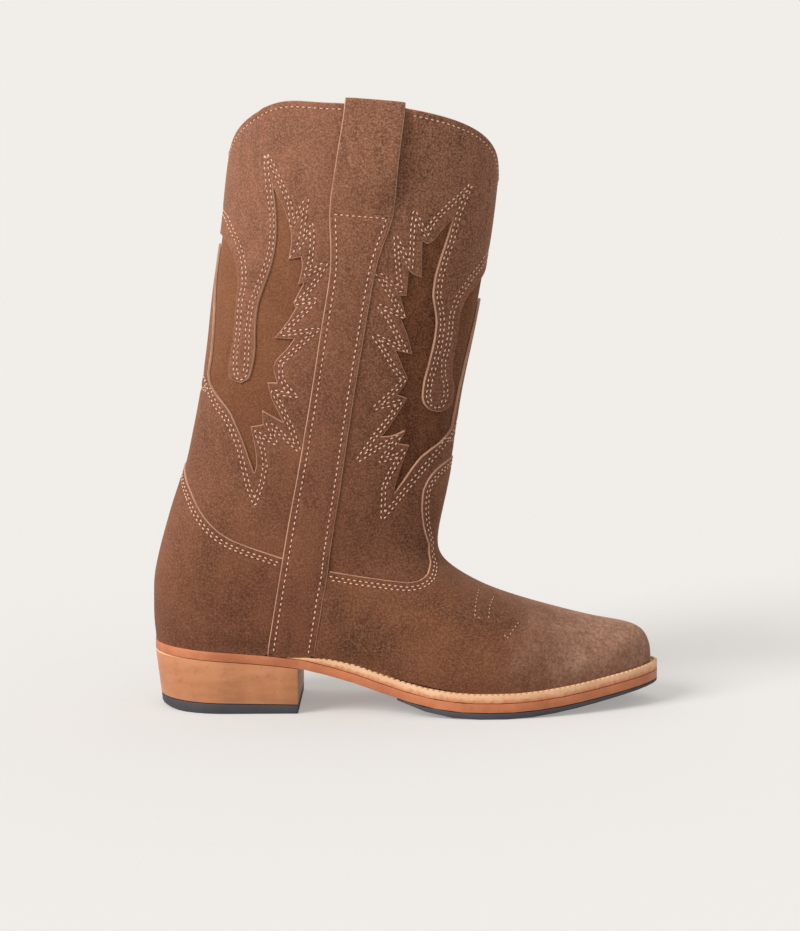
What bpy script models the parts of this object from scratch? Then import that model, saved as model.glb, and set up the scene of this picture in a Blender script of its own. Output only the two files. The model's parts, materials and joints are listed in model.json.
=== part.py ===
"""Right western boot with flame windows, an assembly of thirteen solids.

Metres in the scene, +Z up, toe along +X, outer (lateral) side along -Y, standing on Z = 0.
All sizes below are millimetres and are turned into metres as each mesh is made.
"""
import math

import bmesh
import bpy
import numpy as np

for old_object in list(bpy.data.objects):
    bpy.data.objects.remove(old_object, do_unlink=True)

MM = 0.001

# Driving sizes of the sole, millimetres
SOLE_BACK_X = -145.0
SOLE_TOE_X = 145.0
HEEL_BREAST_X = -61.5
OUTSOLE_THICKNESS = 5.0
WELT_THICKNESS = 4.5
WELT_START_X = -76.0
WELT_CUT_X = -68.0
WELT_FULL_X = -30.0
INSOLE_RISE = 2.5
INSOLE_CLEARANCE = 1.6
HEEL_END_RADIUS = 40.0
TOE_END_RADIUS = 62.0
TOE_SWING = 6.0
SEAT_GAP = 0.3

# Underside of the leather outsole from heel seat over the arch, the flat tread and the toe spring
SOLE_LINE = [
    {"x": -145.0, "under": 33.0},
    {"x": -62.0, "under": 26.2},
    {"x": -35.0, "under": 19.5},
    {"x": -4.0, "under": 9.8},
    {"x": 18.0, "under": 5.2},
    {"x": 36.0, "under": 3.8},
    {"x": 58.0, "under": 3.8},
    {"x": 94.0, "under": 6.7},
    {"x": 120.0, "under": 10.4},
    {"x": 145.0, "under": 14.0},
]

# Half widths of the outsole before its ends are rounded, and how far it shows past the upper
SOLE_PLAN = [
    {"x": -145.0, "lateral": 37.5, "medial": 37.5, "shows": 0.4},
    {"x": -105.0, "lateral": 37.0, "medial": 37.0, "shows": 0.5},
    {"x": -62.0, "lateral": 36.0, "medial": 35.5, "shows": 0.6},
    {"x": -25.0, "lateral": 37.0, "medial": 33.0, "shows": 2.0},
    {"x": 10.0, "lateral": 45.5, "medial": 39.5, "shows": 4.5},
    {"x": 48.0, "lateral": 51.0, "medial": 46.5, "shows": 5.0},
    {"x": 78.0, "lateral": 46.5, "medial": 45.5, "shows": 5.0},
    {"x": 105.0, "lateral": 39.0, "medial": 39.0, "shows": 5.0},
    {"x": 145.0, "lateral": 33.0, "medial": 33.0, "shows": 3.6},
]

# Rubber under the forefoot, thin at its skived back edge and at the toe
FOREFOOT_RUBBER = [
    {"x": -6.0, "thick": 0.7},
    {"x": 24.0, "thick": 3.5},
    {"x": 36.0, "thick": 3.5},
    {"x": 58.0, "thick": 3.5},
    {"x": 100.0, "thick": 2.6},
    {"x": 145.0, "thick": 1.6},
]

# Heel block: each end of the lift's upper face, and how far the block draws in towards the floor
LIFT_TOP_FRONT = 4.9
LIFT_TOP_BACK = 6.6
HEEL_UNDERCUT_BACK = 4.0
HEEL_UNDERCUT_SIDE = 2.2
LIFT_BEVEL_START_X = -128.0
LIFT_BEVEL_SLOPE = 0.15

# Upper and its outer layers
WALL = 2.0
COVER = 2.6
LAYER_GAP = 0.4
FEATHER_GAP = 0.85
PANEL_THICKNESS = 1.2
VAMP_THICKNESS = 2.0
COUNTER_THICKNESS = 2.0
STRAP_THICKNESS = 2.3
FEATHER_TUCK = 2.5
COLLAR_RISE = 33.0
COLLAR_ROUNDING = 0.4
COLLAR_SOFTNESS = 0.0005
TOE_ROUNDING = 60.0
SHAFT_FRONT_ROUNDING = 76.0
HEEL_ROUNDING = 40.0
SHAFT_BACK_ROUNDING = 62.0
RIDGE_STRETCH = 1.9
SHAFT_FROM_Z = 50.0
SHAFT_FULL_Z = 120.0
SHARP_EDGE = math.radians(40.0)

# Sections of the upper from the feather edge to the collar, each through a back and a front point
SECTIONS = [
    {"name": "feather", "back_x": -142.1, "back_z": 38.6, "front_x": 138.8, "front_z": 23.3},
    {"name": "rand", "back_x": -143.3, "back_z": 54.0, "front_x": 138.0, "front_z": 32.0},
    {"name": "toe wall", "back_x": -143.0, "back_z": 70.0, "front_x": 131.5, "front_z": 41.0},
    {"name": "toe top", "back_x": -140.6, "back_z": 85.0, "front_x": 108.0, "front_z": 46.3},
    {"name": "ball", "back_x": -136.6, "back_z": 100.0, "front_x": 77.0, "front_z": 54.2},
    {"name": "waist", "back_x": -132.2, "back_z": 115.0, "front_x": 46.5, "front_z": 64.5},
    {"name": "instep", "back_x": -127.6, "back_z": 129.0, "front_x": 25.0, "front_z": 77.0},
    {"name": "bend", "back_x": -123.8, "back_z": 143.0, "front_x": 14.8, "front_z": 90.0},
    {"name": "ankle", "back_x": -120.6, "back_z": 158.0, "front_x": 16.8, "front_z": 108.0},
    {"name": "low shaft", "back_x": -117.0, "back_z": 176.0, "front_x": 22.5, "front_z": 134.0},
    {"name": "calf", "back_x": -112.6, "back_z": 204.0, "front_x": 28.5, "front_z": 175.0},
    {"name": "mid shaft", "back_x": -108.3, "back_z": 241.0, "front_x": 38.5, "front_z": 224.0},
    {"name": "top band", "back_x": -103.2, "back_z": 279.0, "front_x": 46.3, "front_z": 271.0},
    {"name": "collar", "back_x": -99.5, "back_z": 307.0, "front_x": 50.0, "front_z": 299.0},
]

# Half width of the shaft at each height
SHAFT_WIDTHS = [
    {"z": 90.0, "half": 36.5},
    {"z": 130.0, "half": 38.5},
    {"z": 160.0, "half": 42.0},
    {"z": 205.0, "half": 46.0},
    {"z": 250.0, "half": 49.0},
    {"z": 300.0, "half": 50.5},
    {"z": 345.0, "half": 51.0},
]

# Levels, counted in sections, over which one rule of the upper's shape hands over to the next
FEATHER_FOLLOWED_TO = 2.0
FEATHER_LEFT_BY = 9.0
FRONT_ROUNDING_FROM = 4.0
BACK_ROUNDING_FROM = 3.0
SHAFT_ROUNDING_BY = 10.0

# Facets of the solids
AROUND = 36
UP_CELLS = 18
PLATE_STATIONS = 30
WELT_STATIONS = 45


def monotone_curve(rows, key, value):
    """Smooth curve through one column of a table that never overshoots its rows."""
    knots = np.array([row[key] for row in rows], dtype=float)
    values = np.array([row[value] for row in rows], dtype=float)
    step = np.diff(knots)
    slope = np.diff(values) / step
    tangent = np.zeros(len(rows))
    tangent[0] = slope[0]
    tangent[-1] = slope[-1]
    for i in range(1, len(rows) - 1):
        if slope[i - 1] * slope[i] > 0:
            before = 2 * step[i] + step[i - 1]
            after = step[i] + 2 * step[i - 1]
            tangent[i] = (before + after) / (before / slope[i - 1] + after / slope[i])

    def curve(at):
        at = np.clip(np.asarray(at, dtype=float), knots[0], knots[-1])
        i = np.clip(np.searchsorted(knots, at, side="right") - 1, 0, len(step) - 1)
        s = (at - knots[i]) / step[i]
        rise = (values[i + 1] - values[i]) * s * s * (3 - 2 * s)
        bend = tangent[i] * s * (1 - s) ** 2 + tangent[i + 1] * s * s * (s - 1)
        return values[i] + rise + step[i] * bend

    return curve


def ease(at, start, end):
    """0 before start, 1 past end, smooth between."""
    s = np.clip((np.asarray(at, dtype=float) - start) / (end - start), 0.0, 1.0)
    return s * s * (3 - 2 * s)


def round_end(distance, radius):
    """Quarter ellipse: 0 at an end, 1 from one radius inwards."""
    s = np.clip(distance / radius, 0.0, 1.0)
    return np.sqrt(1 - (1 - s) ** 2)


outsole_under = monotone_curve(SOLE_LINE, "x", "under")
plan_lateral = monotone_curve(SOLE_PLAN, "x", "lateral")
plan_medial = monotone_curve(SOLE_PLAN, "x", "medial")
welt_shows = monotone_curve(SOLE_PLAN, "x", "shows")
rubber_thickness = monotone_curve(FOREFOOT_RUBBER, "x", "thick")
shaft_half = monotone_curve(SHAFT_WIDTHS, "z", "half")
for number, section in enumerate(SECTIONS):
    section["level"] = number
back_x = monotone_curve(SECTIONS, "level", "back_x")
back_z = monotone_curve(SECTIONS, "level", "back_z")
front_x = monotone_curve(SECTIONS, "level", "front_x")
front_z = monotone_curve(SECTIONS, "level", "front_z")
COLLAR_LEVEL = len(SECTIONS) - 1


def welt_thickness(x):
    return WELT_THICKNESS * ease(x, WELT_START_X, WELT_FULL_X)


def outsole_top(x):
    return outsole_under(x) + OUTSOLE_THICKNESS


def sole_top(x):
    return outsole_top(x) + SEAT_GAP + welt_thickness(x)


def swing(x):
    """Sideways curve of the last: the toe leans to the inner side."""
    return TOE_SWING * ease(x, 0.0, SOLE_TOE_X)


def plan_outline(theta, inset):
    """Sole outline at an angle, 0 at the heel and pi at the toe, drawn in by inset(x)."""
    back = SOLE_BACK_X + inset(SOLE_BACK_X)
    front = SOLE_TOE_X - inset(SOLE_TOE_X)
    x = back + (front - back) * (1 - np.cos(theta)) / 2
    lateral = np.sin(theta) >= 0
    half = np.where(lateral, plan_lateral(x), plan_medial(x)) - inset(x)
    half = half * round_end(x - back, HEEL_END_RADIUS) * round_end(front - x, TOE_END_RADIUS)
    return x, swing(x) + np.where(lateral, -half, half)


def plan_angle(x):
    """Angle at which the uninset outline passes a place along the sole."""
    share = (x - SOLE_BACK_X) / (SOLE_TOE_X - SOLE_BACK_X)
    return math.acos(1 - 2 * share)


def feather_dip(t):
    """How far the feather edge lies off the straight line of the lowest section."""
    x = back_x(0) + t * (front_x(0) - back_x(0))
    line = back_z(0) + t * (front_z(0) - back_z(0))
    return sole_top(x) + FEATHER_GAP - line


def collar_curve(theta):
    """Rise of the rim from the dips at front and back, 0, to the sides, 1."""
    power = COLLAR_ROUNDING / 2
    low = COLLAR_SOFTNESS ** power
    high = (1 + COLLAR_SOFTNESS) ** power
    return ((np.sin(theta) ** 2 + COLLAR_SOFTNESS) ** power - low) / (high - low)


def section_line(theta, level):
    """Side-view place, x and z, of a point of a section."""
    t = (1 - np.cos(theta)) / 2
    x = back_x(level) + t * (front_x(level) - back_x(level))
    z = back_z(level) + t * (front_z(level) - back_z(level))
    z = z + (1 - ease(level, FEATHER_FOLLOWED_TO, FEATHER_LEFT_BY)) * feather_dip(t)
    return x, z + COLLAR_RISE * ease(level, FEATHER_LEFT_BY, COLLAR_LEVEL) * collar_curve(theta)


LINE_POINTS = 131
LINE_LEVELS = np.linspace(0.0, COLLAR_LEVEL, LINE_POINTS)
FRONT_PAST_COLLAR = (3.0, 48.0)
BACK_PAST_COLLAR = (3.5, 40.0)


def edge_line(theta, past_collar):
    """Back (angle 0) or front (angle pi) line in the side view, carried on above the collar."""
    line = np.column_stack(section_line(theta, LINE_LEVELS))
    return np.vstack((line, line[-1] + np.array(past_collar)))


FRONT_LINE = edge_line(math.pi, FRONT_PAST_COLLAR)
BACK_LINE = edge_line(0.0, BACK_PAST_COLLAR)


def reach(x, z, line, stretch):
    """Side-view distance from points to a line, with heights counted stretch times."""
    start = line[:-1] * np.array([1.0, stretch])
    span = line[1:] * np.array([1.0, stretch]) - start
    gap_x = np.asarray(x)[..., None] - start[:, 0]
    gap_z = np.asarray(z)[..., None] * stretch - start[:, 1]
    share = (gap_x * span[:, 0] + gap_z * span[:, 1]) / np.sum(span * span, axis=1)
    share = np.clip(share, 0.0, 1.0)
    off_x = gap_x - share * span[:, 0]
    off_z = gap_z - share * span[:, 1]
    return np.sqrt(np.min(off_x * off_x + off_z * off_z, axis=-1))


def skin(theta, level):
    """Outer face of the upper at an angle round it and a level from feather, 0, to collar."""
    x, z = section_line(theta, level)
    lateral = np.sin(theta) >= 0
    tuck = FEATHER_TUCK * (1 - np.clip(1 - level, 0.0, 1.0) ** 2)
    foot = np.where(lateral, plan_lateral(x), plan_medial(x)) - welt_shows(x) - COVER + tuck
    in_shaft = ease(z, SHAFT_FROM_Z, SHAFT_FULL_Z)
    half = foot + (shaft_half(z) - foot) * in_shaft
    front_share = ease(level, FRONT_ROUNDING_FROM, SHAFT_ROUNDING_BY)
    back_share = ease(level, BACK_ROUNDING_FROM, SHAFT_ROUNDING_BY)
    front_radius = TOE_ROUNDING + (SHAFT_FRONT_ROUNDING - TOE_ROUNDING) * front_share
    back_radius = HEEL_ROUNDING + (SHAFT_BACK_ROUNDING - HEEL_ROUNDING) * back_share
    half = half * round_end(reach(x, z, FRONT_LINE, RIDGE_STRETCH), front_radius)
    half = half * round_end(reach(x, z, BACK_LINE, 1.0), back_radius)
    y = swing(x) * (1 - in_shaft) + np.where(lateral, -half, half)
    return np.stack((x, y, z), axis=-1)


THETAS = 2 * math.pi * np.arange(AROUND) / AROUND
LEVELS = COLLAR_LEVEL * np.arange(UP_CELLS + 1) / UP_CELLS
SKIN = skin(np.tile(THETAS, (UP_CELLS + 1, 1)), np.tile(LEVELS[:, None], (1, AROUND)))


def unit(vectors):
    return vectors / np.linalg.norm(vectors, axis=-1, keepdims=True)


def outward_normals(grid):
    """Directions square to the skin; level along the feather edge, where the wall stands on the sole."""
    round_way = np.roll(grid, -1, axis=1) - np.roll(grid, 1, axis=1)
    normals = np.cross(round_way, np.gradient(grid, axis=0))
    normals[0, :, 2] = 0.0
    return unit(normals)


NORMALS = outward_normals(SKIN)
RIM_UP = unit(SKIN[-1] - SKIN[-2])


# Materials: colour and roughness
SUEDE = {"colour": (0.235, 0.110, 0.058), "roughness": 0.9}
UNDER_LEATHER = {"colour": (0.125, 0.052, 0.024), "roughness": 0.8}
NATURAL_LEATHER = {"colour": (0.55, 0.36, 0.20), "roughness": 0.6}
SOLE_LEATHER = {"colour": (0.42, 0.20, 0.085), "roughness": 0.45}
STACK_LEATHER = {"colour": (0.36, 0.19, 0.095), "roughness": 0.5}
RUBBER = {"colour": (0.018, 0.017, 0.017), "roughness": 0.6}


def finish_object(name, points, faces, finish):
    """One closed body in millimetres becomes a named object in metres with its own material."""
    shape = bmesh.new()
    corners = [shape.verts.new(np.asarray(point) * MM) for point in points]
    for face in faces:
        ring = list(dict.fromkeys(face))
        shape.faces.new([corners[i] for i in ring])
    bmesh.ops.recalc_face_normals(shape, faces=shape.faces)
    mesh = bpy.data.meshes.new(name)
    shape.to_mesh(mesh)
    shape.free()
    mesh.shade_smooth()
    mesh.set_sharp_from_angle(angle=SHARP_EDGE)
    material = bpy.data.materials.new(name)
    material.use_nodes = True
    shader = material.node_tree.nodes["Principled BSDF"]
    shader.inputs["Base Color"].default_value = (*finish["colour"], 1.0)
    shader.inputs["Roughness"].default_value = finish["roughness"]
    shader.inputs["Metallic"].default_value = 0.0
    mesh.materials.append(material)
    made = bpy.data.objects.new(name, mesh)
    bpy.context.scene.collection.objects.link(made)
    return made


def loft(name, rings, finish, starts_at_point):
    """Closed body through rings of equal count, bottom first; strips across close its two faces."""
    count = len(rings[0])
    faces = []
    for k in range(len(rings) - 1):
        for i in range(count):
            j = (i + 1) % count
            faces.append((k * count + i, k * count + j, (k + 1) * count + j, (k + 1) * count + i))
    last = (len(rings) - 1) * count
    shift = 0 if starts_at_point else 1
    for i in range((count + 1 - shift) // 2):
        strip = [i, i + 1, (count - shift - i - 1) % count, (count - shift - i) % count]
        if len(set(strip)) > 2:
            faces.append(tuple(last + corner for corner in strip))
            faces.append(tuple(reversed(strip)))
    return finish_object(name, np.vstack(rings), faces, finish)


def ring_at(theta, inset, height):
    """Ring of points on the sole outline at a height that follows x."""
    x, y = plan_outline(theta, inset)
    return np.column_stack((x, y, height(x)))


def no_inset(x):
    return np.zeros_like(np.asarray(x, dtype=float))


def insole_inset(x):
    return welt_shows(x) + COVER + WALL + INSOLE_CLEARANCE


# Outsole: one leather plate, heel to toe
full_ring = 2 * math.pi * np.arange(2 * PLATE_STATIONS) / (2 * PLATE_STATIONS)
outsole_rings = [ring_at(full_ring, no_inset, height) for height in (outsole_under, outsole_top)]
loft("outsole", outsole_rings, SOLE_LEATHER, True)


# Insole: the board inside the upper, down to the outsole
def insole_under(x):
    return outsole_top(x) + SEAT_GAP


def insole_top(x):
    return sole_top(x) + INSOLE_RISE


insole_rings = [ring_at(full_ring, insole_inset, height) for height in (insole_under, insole_top)]
loft("insole", insole_rings, NATURAL_LEATHER, True)


# Forefoot sole: rubber from a straight edge in the arch round the toe
def rubber_top(x):
    return outsole_under(x) - SEAT_GAP


def rubber_under(x):
    return rubber_top(x) - rubber_thickness(x)


rubber_start = plan_angle(FOREFOOT_RUBBER[0]["x"])
fore_ring = np.linspace(rubber_start, 2 * math.pi - rubber_start, PLATE_STATIONS + 1)
rubber_rings = [ring_at(fore_ring, no_inset, height) for height in (rubber_under, rubber_top)]
loft("forefoot_sole", rubber_rings, RUBBER, False)


# Welt: a leather strip on the outsole's edge from the arch round the toe, thin at both ends
def welt_under(x):
    return outsole_top(x) + SEAT_GAP


def welt_inner(x):
    return insole_inset(x) - SEAT_GAP


def strip_of_four(name, loops, finish):
    """Closed bar through four-cornered loops."""
    faces = [(3, 2, 1, 0)]
    for k in range(len(loops) - 1):
        for i in range(4):
            j = (i + 1) % 4
            faces.append((4 * k + i, 4 * k + j, 4 * k + 4 + j, 4 * k + 4 + i))
    last = 4 * (len(loops) - 1)
    faces.append((last, last + 1, last + 2, last + 3))
    return finish_object(name, np.vstack(loops), faces, finish)


welt_first = plan_angle(WELT_CUT_X)
welt_ring = np.linspace(welt_first, 2 * math.pi - welt_first, WELT_STATIONS)
welt_faces = (
    ring_at(welt_ring, no_inset, welt_under),
    ring_at(welt_ring, no_inset, sole_top),
    ring_at(welt_ring, welt_inner, sole_top),
    ring_at(welt_ring, welt_inner, welt_under),
)
strip_of_four("welt", [np.array(loop) for loop in zip(*welt_faces)], NATURAL_LEATHER)


# Heel: a stack of leather lifts under the heel seat and a rubber lift on the floor
heel_last = plan_angle(HEEL_BREAST_X)
heel_side = np.linspace(0.0, heel_last, PLATE_STATIONS // 2)
heel_ring = np.concatenate((heel_side, -heel_side[:0:-1]))


def heel_ring_at(height):
    """Ring of the heel block; it draws in at the back and sides as it nears the floor."""
    x, y = plan_outline(heel_ring, no_inset)
    drop = 1 - height(x) / stack_top(x)
    length = HEEL_BREAST_X - SOLE_BACK_X
    x = HEEL_BREAST_X - (HEEL_BREAST_X - x) * (1 - drop * HEEL_UNDERCUT_BACK / length)
    y = y * (1 - drop * HEEL_UNDERCUT_SIDE / plan_lateral(HEEL_BREAST_X))
    return np.column_stack((x, y, height(x)))


def stack_top(x):
    return outsole_under(x) - SEAT_GAP


def lift_top(x):
    share = (HEEL_BREAST_X - x) / (HEEL_BREAST_X - SOLE_BACK_X)
    return LIFT_TOP_FRONT + (LIFT_TOP_BACK - LIFT_TOP_FRONT) * share


def stack_under(x):
    return lift_top(x) + SEAT_GAP


def lift_under(x):
    return np.maximum(0.0, (LIFT_BEVEL_START_X - x) * LIFT_BEVEL_SLOPE)


loft("heel_stack", [heel_ring_at(stack_under), heel_ring_at(stack_top)], STACK_LEATHER, True)
loft("heel_lift", [heel_ring_at(lift_under), heel_ring_at(lift_top)], RUBBER, True)


# Upper: one wall of leather, open at the collar and underneath
def wall_faces(outer_start, inner_start):
    """Triangles of the outer and inner faces and the two rims that join them."""
    faces = []
    for k in range(UP_CELLS):
        for i in range(AROUND):
            j = (i + 1) % AROUND
            low = k * AROUND
            high = low + AROUND
            for start in (outer_start, inner_start):
                faces.append((start + low + i, start + low + j, start + high + j))
                faces.append((start + low + i, start + high + j, start + high + i))
    for i in range(AROUND):
        j = (i + 1) % AROUND
        for row in (0, UP_CELLS * AROUND):
            outer = outer_start + row
            inner = inner_start + row
            faces.append((outer + i, outer + j, inner + j, inner + i))
    return faces


def make_upper():
    outer = SKIN.reshape(-1, 3)
    inner = (SKIN - NORMALS * WALL).reshape(-1, 3)
    faces = wall_faces(0, len(outer))
    return finish_object("upper", np.vstack((outer, inner)), faces, UNDER_LEATHER)


make_upper()


# Side elevation on which the edges of the outer layers are drawn: the outer side of the boot, seen
# in perspective from a place level with the shaft, in a frame of 800 by 931 units
FRAME_CENTRE_ACROSS = 400.0
FRAME_CENTRE_DOWN = 465.5
FRAME_FOCAL = 1930.0
VIEW_DISTANCE = 1100.0
VIEW_HEIGHT = 237.0
VIEW_X = -4.3
VIEW_DIP = math.radians(5.2)
EDGE_GAP = 0.4
EDGE_GAP_DRAWN = EDGE_GAP * FRAME_FOCAL / VIEW_DISTANCE
SIDE_GUESS_Y = -40.0
SEARCH_STEPS = 30
SIGHT_STEPS = 12
WALK_POINTS = 101

# Both edges of the side strip, from the rim down to the sole; the top is the wider pull loop
STRAP_EDGES = [
    {"down": 104.0, "left": 346.0, "right": 404.5},
    {"down": 182.0, "left": 334.0, "right": 395.5},
    {"down": 216.0, "left": 329.5, "right": 393.0},
    {"down": 232.0, "left": 330.0, "right": 387.0},
    {"down": 254.0, "left": 333.0, "right": 378.0},
    {"down": 274.0, "left": 331.0, "right": 373.5},
    {"down": 322.0, "left": 323.0, "right": 365.0},
    {"down": 395.0, "left": 312.0, "right": 353.0},
    {"down": 478.0, "left": 298.0, "right": 341.0},
    {"down": 570.0, "left": 281.0, "right": 327.0},
    {"down": 690.0, "left": 262.0, "right": 307.0},
]

# Upper edge of the vamp from the strip to its tongue on the shaft's front line, (across, down)
VAMP_EDGE = [
    (345, 574.5), (370, 578.5), (394, 583), (409, 585), (420, 583), (426.5, 576), (428.8, 562),
    (425.7, 545), (422, 526), (420, 508), (421.5, 490), (427.6, 478), (436, 468.5), (446, 461),
]
VAMP_TOP_DOWN = 456.0

# Upper edge of the counter from the strip to the shaft's back line, (across, down)
COUNTER_EDGE = [
    (270, 554), (254, 549), (237, 543), (220, 534), (206.5, 520), (199, 507), (193, 492), (188, 474),
]
COUNTER_TOP_DOWN = 464.0

# Front window: down the tongue's inner side, round its drop and up its outer side to the slit,
# then along the flames' tips and notches to the lowest point and up to the middle flame
FRONT_TONGUE_TOP_DOWN = 264.0
FRONT_WINDOW = [
    (479, 277), (470, 289), (463, 299), (459, 309), (457, 322), (456, 335), (453, 351), (450, 361),
    (449.5, 374), (452, 385), (452, 395), (450, 403), (445, 410), (437, 412.6), (428.6, 410.5),
    (423.5, 405), (422, 397), (424.5, 381), (429.6, 363), (434.7, 343), (437, 325), (436, 311),
    (433, 296), (435, 278), (440, 259), (447, 239), (453, 214), (446, 223), (439, 231), (432, 240),
    (427, 243), (421, 240), (420.4, 257), (420.4, 276.6), (413, 274), (407.5, 269), (406.6, 282),
    (405.6, 295), (399, 295), (404.6, 317.4), (399.5, 319), (407, 338.6), (411, 354), (394, 350.5),
    (402, 368), (407, 379), (404, 386.5), (395.5, 396), (405.6, 400), (399, 412), (391, 423),
    (379.6, 438.6), (391, 437.6), (404, 431.5), (397.4, 446), (408, 447.5), (403, 461), (397, 475),
    (393, 488), (393.4, 495), (401, 484), (411, 471), (421, 459), (432, 449), (442, 440), (450, 429),
]
FRONT_FLAME = [
    {"down": 418.0, "half": 9.0},
    {"down": 395.0, "half": 8.0},
    {"down": 365.0, "half": 8.5},
    {"down": 331.0, "half": 7.0},
    {"down": 308.0, "half": 4.0},
]
FRONT_FLAME_TOP_DOWN = 290.0

# Back window, drawn in the same order
BACK_TONGUE_TOP_DOWN = 234.0
BACK_WINDOW = [
    (231.5, 246), (236.6, 258), (240, 272), (239.8, 288), (237.5, 303), (236.6, 325), (233, 351),
    (229.5, 368), (231, 378), (235, 382), (241, 383.6), (248, 380), (252.5, 369), (255, 351), (255, 331),
    (256, 312), (260, 296), (268, 278), (274, 258), (276.6, 242), (277, 222), (275.4, 198), (273.5, 181),
    (281.5, 199), (288.5, 215), (291.5, 228), (294, 243), (289.7, 259), (302, 256.5), (304, 268),
    (299.5, 283.5), (305.5, 281.5), (294.8, 303), (297, 309), (289, 323), (276.4, 338), (295.3, 339.5),
    (286.6, 351), (275.4, 361.4), (273.4, 368.6), (275.4, 377), (278, 385), (268.3, 385), (271.3, 397),
    (278.5, 412), (284.6, 425.7), (263, 414), (263.7, 427), (251.4, 428), (255, 444), (257.5, 460),
    (257, 470), (254, 475), (250.6, 465), (245, 449), (238, 430), (230.5, 413.5), (220, 401), (212, 388),
]
BACK_FLAME = [
    {"down": 374.0, "half": 15.0},
    {"down": 355.0, "half": 16.0},
    {"down": 330.0, "half": 17.0},
    {"down": 305.0, "half": 16.0},
    {"down": 280.0, "half": 13.0},
    {"down": 262.0, "half": 8.0},
]
BACK_FLAME_TOP_DOWN = 245.0


def side_place(x, z):
    """Angle and level on the outer side at a place of the side view."""
    low = 0.0
    high = float(COLLAR_LEVEL)
    theta = 0.0
    for _ in range(SEARCH_STEPS):
        level = (low + high) / 2
        t = (x - back_x(level)) / (front_x(level) - back_x(level))
        theta = math.acos(1 - 2 * min(max(float(t), 0.0), 1.0))
        if section_line(theta, level)[1] < z:
            low = level
        else:
            high = level
    return theta, (low + high) / 2


def on_upper(across, down):
    """Angle and level on the outer side at a place of the elevation."""
    right = across - FRAME_CENTRE_ACROSS
    up = FRAME_CENTRE_DOWN - down
    forth = FRAME_FOCAL * math.cos(VIEW_DIP) + up * math.sin(VIEW_DIP)
    rise = up * math.cos(VIEW_DIP) - FRAME_FOCAL * math.sin(VIEW_DIP)
    y = SIDE_GUESS_Y
    place = (0.0, 0.0)
    for _ in range(SIGHT_STEPS):
        share = (y + VIEW_DISTANCE) / forth
        place = side_place(VIEW_X + right * share, VIEW_HEIGHT + rise * share)
        y = (y + float(skin(*place)[1])) / 2
    return place


def on_middle_line(down, middle, half):
    """Angle and level a way round from the front (middle pi) or back (middle 0) line of the boot."""
    up = FRAME_CENTRE_DOWN - down
    slope = math.tan(math.atan2(up, FRAME_FOCAL) - VIEW_DIP)
    line = FRONT_LINE if middle else BACK_LINE
    height = VIEW_HEIGHT + slope * VIEW_DISTANCE
    level = float(np.interp(height, line[:-1, 1], LINE_LEVELS))
    angles = np.linspace(0.0, 1.0, WALK_POINTS)
    way = skin(middle + angles * (-1 if middle else 1), np.full(angles.shape, level))
    walked = np.concatenate(([0.0], np.cumsum(np.linalg.norm(np.diff(way, axis=0), axis=1))))
    turn = float(np.interp(half, walked, angles))
    return (middle - turn if middle else turn), level


def mirrored(path, middle):
    """The same path on the other side of the boot, running back again."""
    return [(2 * middle - theta, level) for theta, level in reversed(path)]


def moved_aside(points, distance):
    """A drawn line moved square to itself by a distance, to its left as it runs."""
    moved = []
    for i, (across, down) in enumerate(points):
        before = points[max(i - 1, 0)]
        after = points[min(i + 1, len(points) - 1)]
        run = (after[0] - before[0], after[1] - before[1])
        size = math.hypot(*run)
        moved.append((across + run[1] / size * distance, down - run[0] / size * distance))
    return moved


strap_left = monotone_curve(STRAP_EDGES, "down", "left")
strap_right = monotone_curve(STRAP_EDGES, "down", "right")
STRAP_FOOT_DOWN = 652.0
STRAP_RIM_DOWN = 116.0
STRAP_POINTS = 21
STRAP_DOWNS = np.linspace(STRAP_FOOT_DOWN, STRAP_RIM_DOWN, STRAP_POINTS)
FRAME_FOOT_DOWN = 931.0
BELOW_FEATHER_LEVEL = -0.5
LAYER_FOOT_LEVEL = 0.1
ABOVE_RIM_LEVEL = COLLAR_LEVEL + 0.4
LAYER_LEVELS = [LAYER_FOOT_LEVEL, *LEVELS[1:]]
LEVEL_STEP = COLLAR_LEVEL / UP_CELLS
LOOP_TURN_STEPS = 4
LOOP_INSIDE_STEPS = 3
LOOP_LEVELS = [COLLAR_LEVEL + (step + 1) / LOOP_TURN_STEPS for step in range(LOOP_TURN_STEPS)]
LOOP_LEVELS += [COLLAR_LEVEL + 1 + LEVEL_STEP * (step + 1) for step in range(LOOP_INSIDE_STEPS)]
FLAT_LEVEL = 0.25
FLAT_THICKNESS = 0.2
FLAT_MERGE = 0.0005


def strap_path(edge, aside, lowest=FRAME_FOOT_DOWN, highest=0.0):
    """One edge of the side strip from low on the boot to high, moved across by aside."""
    downs = [down for down in STRAP_DOWNS if highest < down < lowest]
    return [on_upper(float(edge(down)) + aside, down) for down in downs]


def run_out(path, level):
    """A place straight above or below the end of a path."""
    return (path[-1][0], level)


def flat_object(name, points, faces):
    mesh = bpy.data.meshes.new(name)
    mesh.from_pydata(points, [], faces)
    made = bpy.data.objects.new(name, mesh)
    bpy.context.scene.collection.objects.link(made)
    return made


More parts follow.
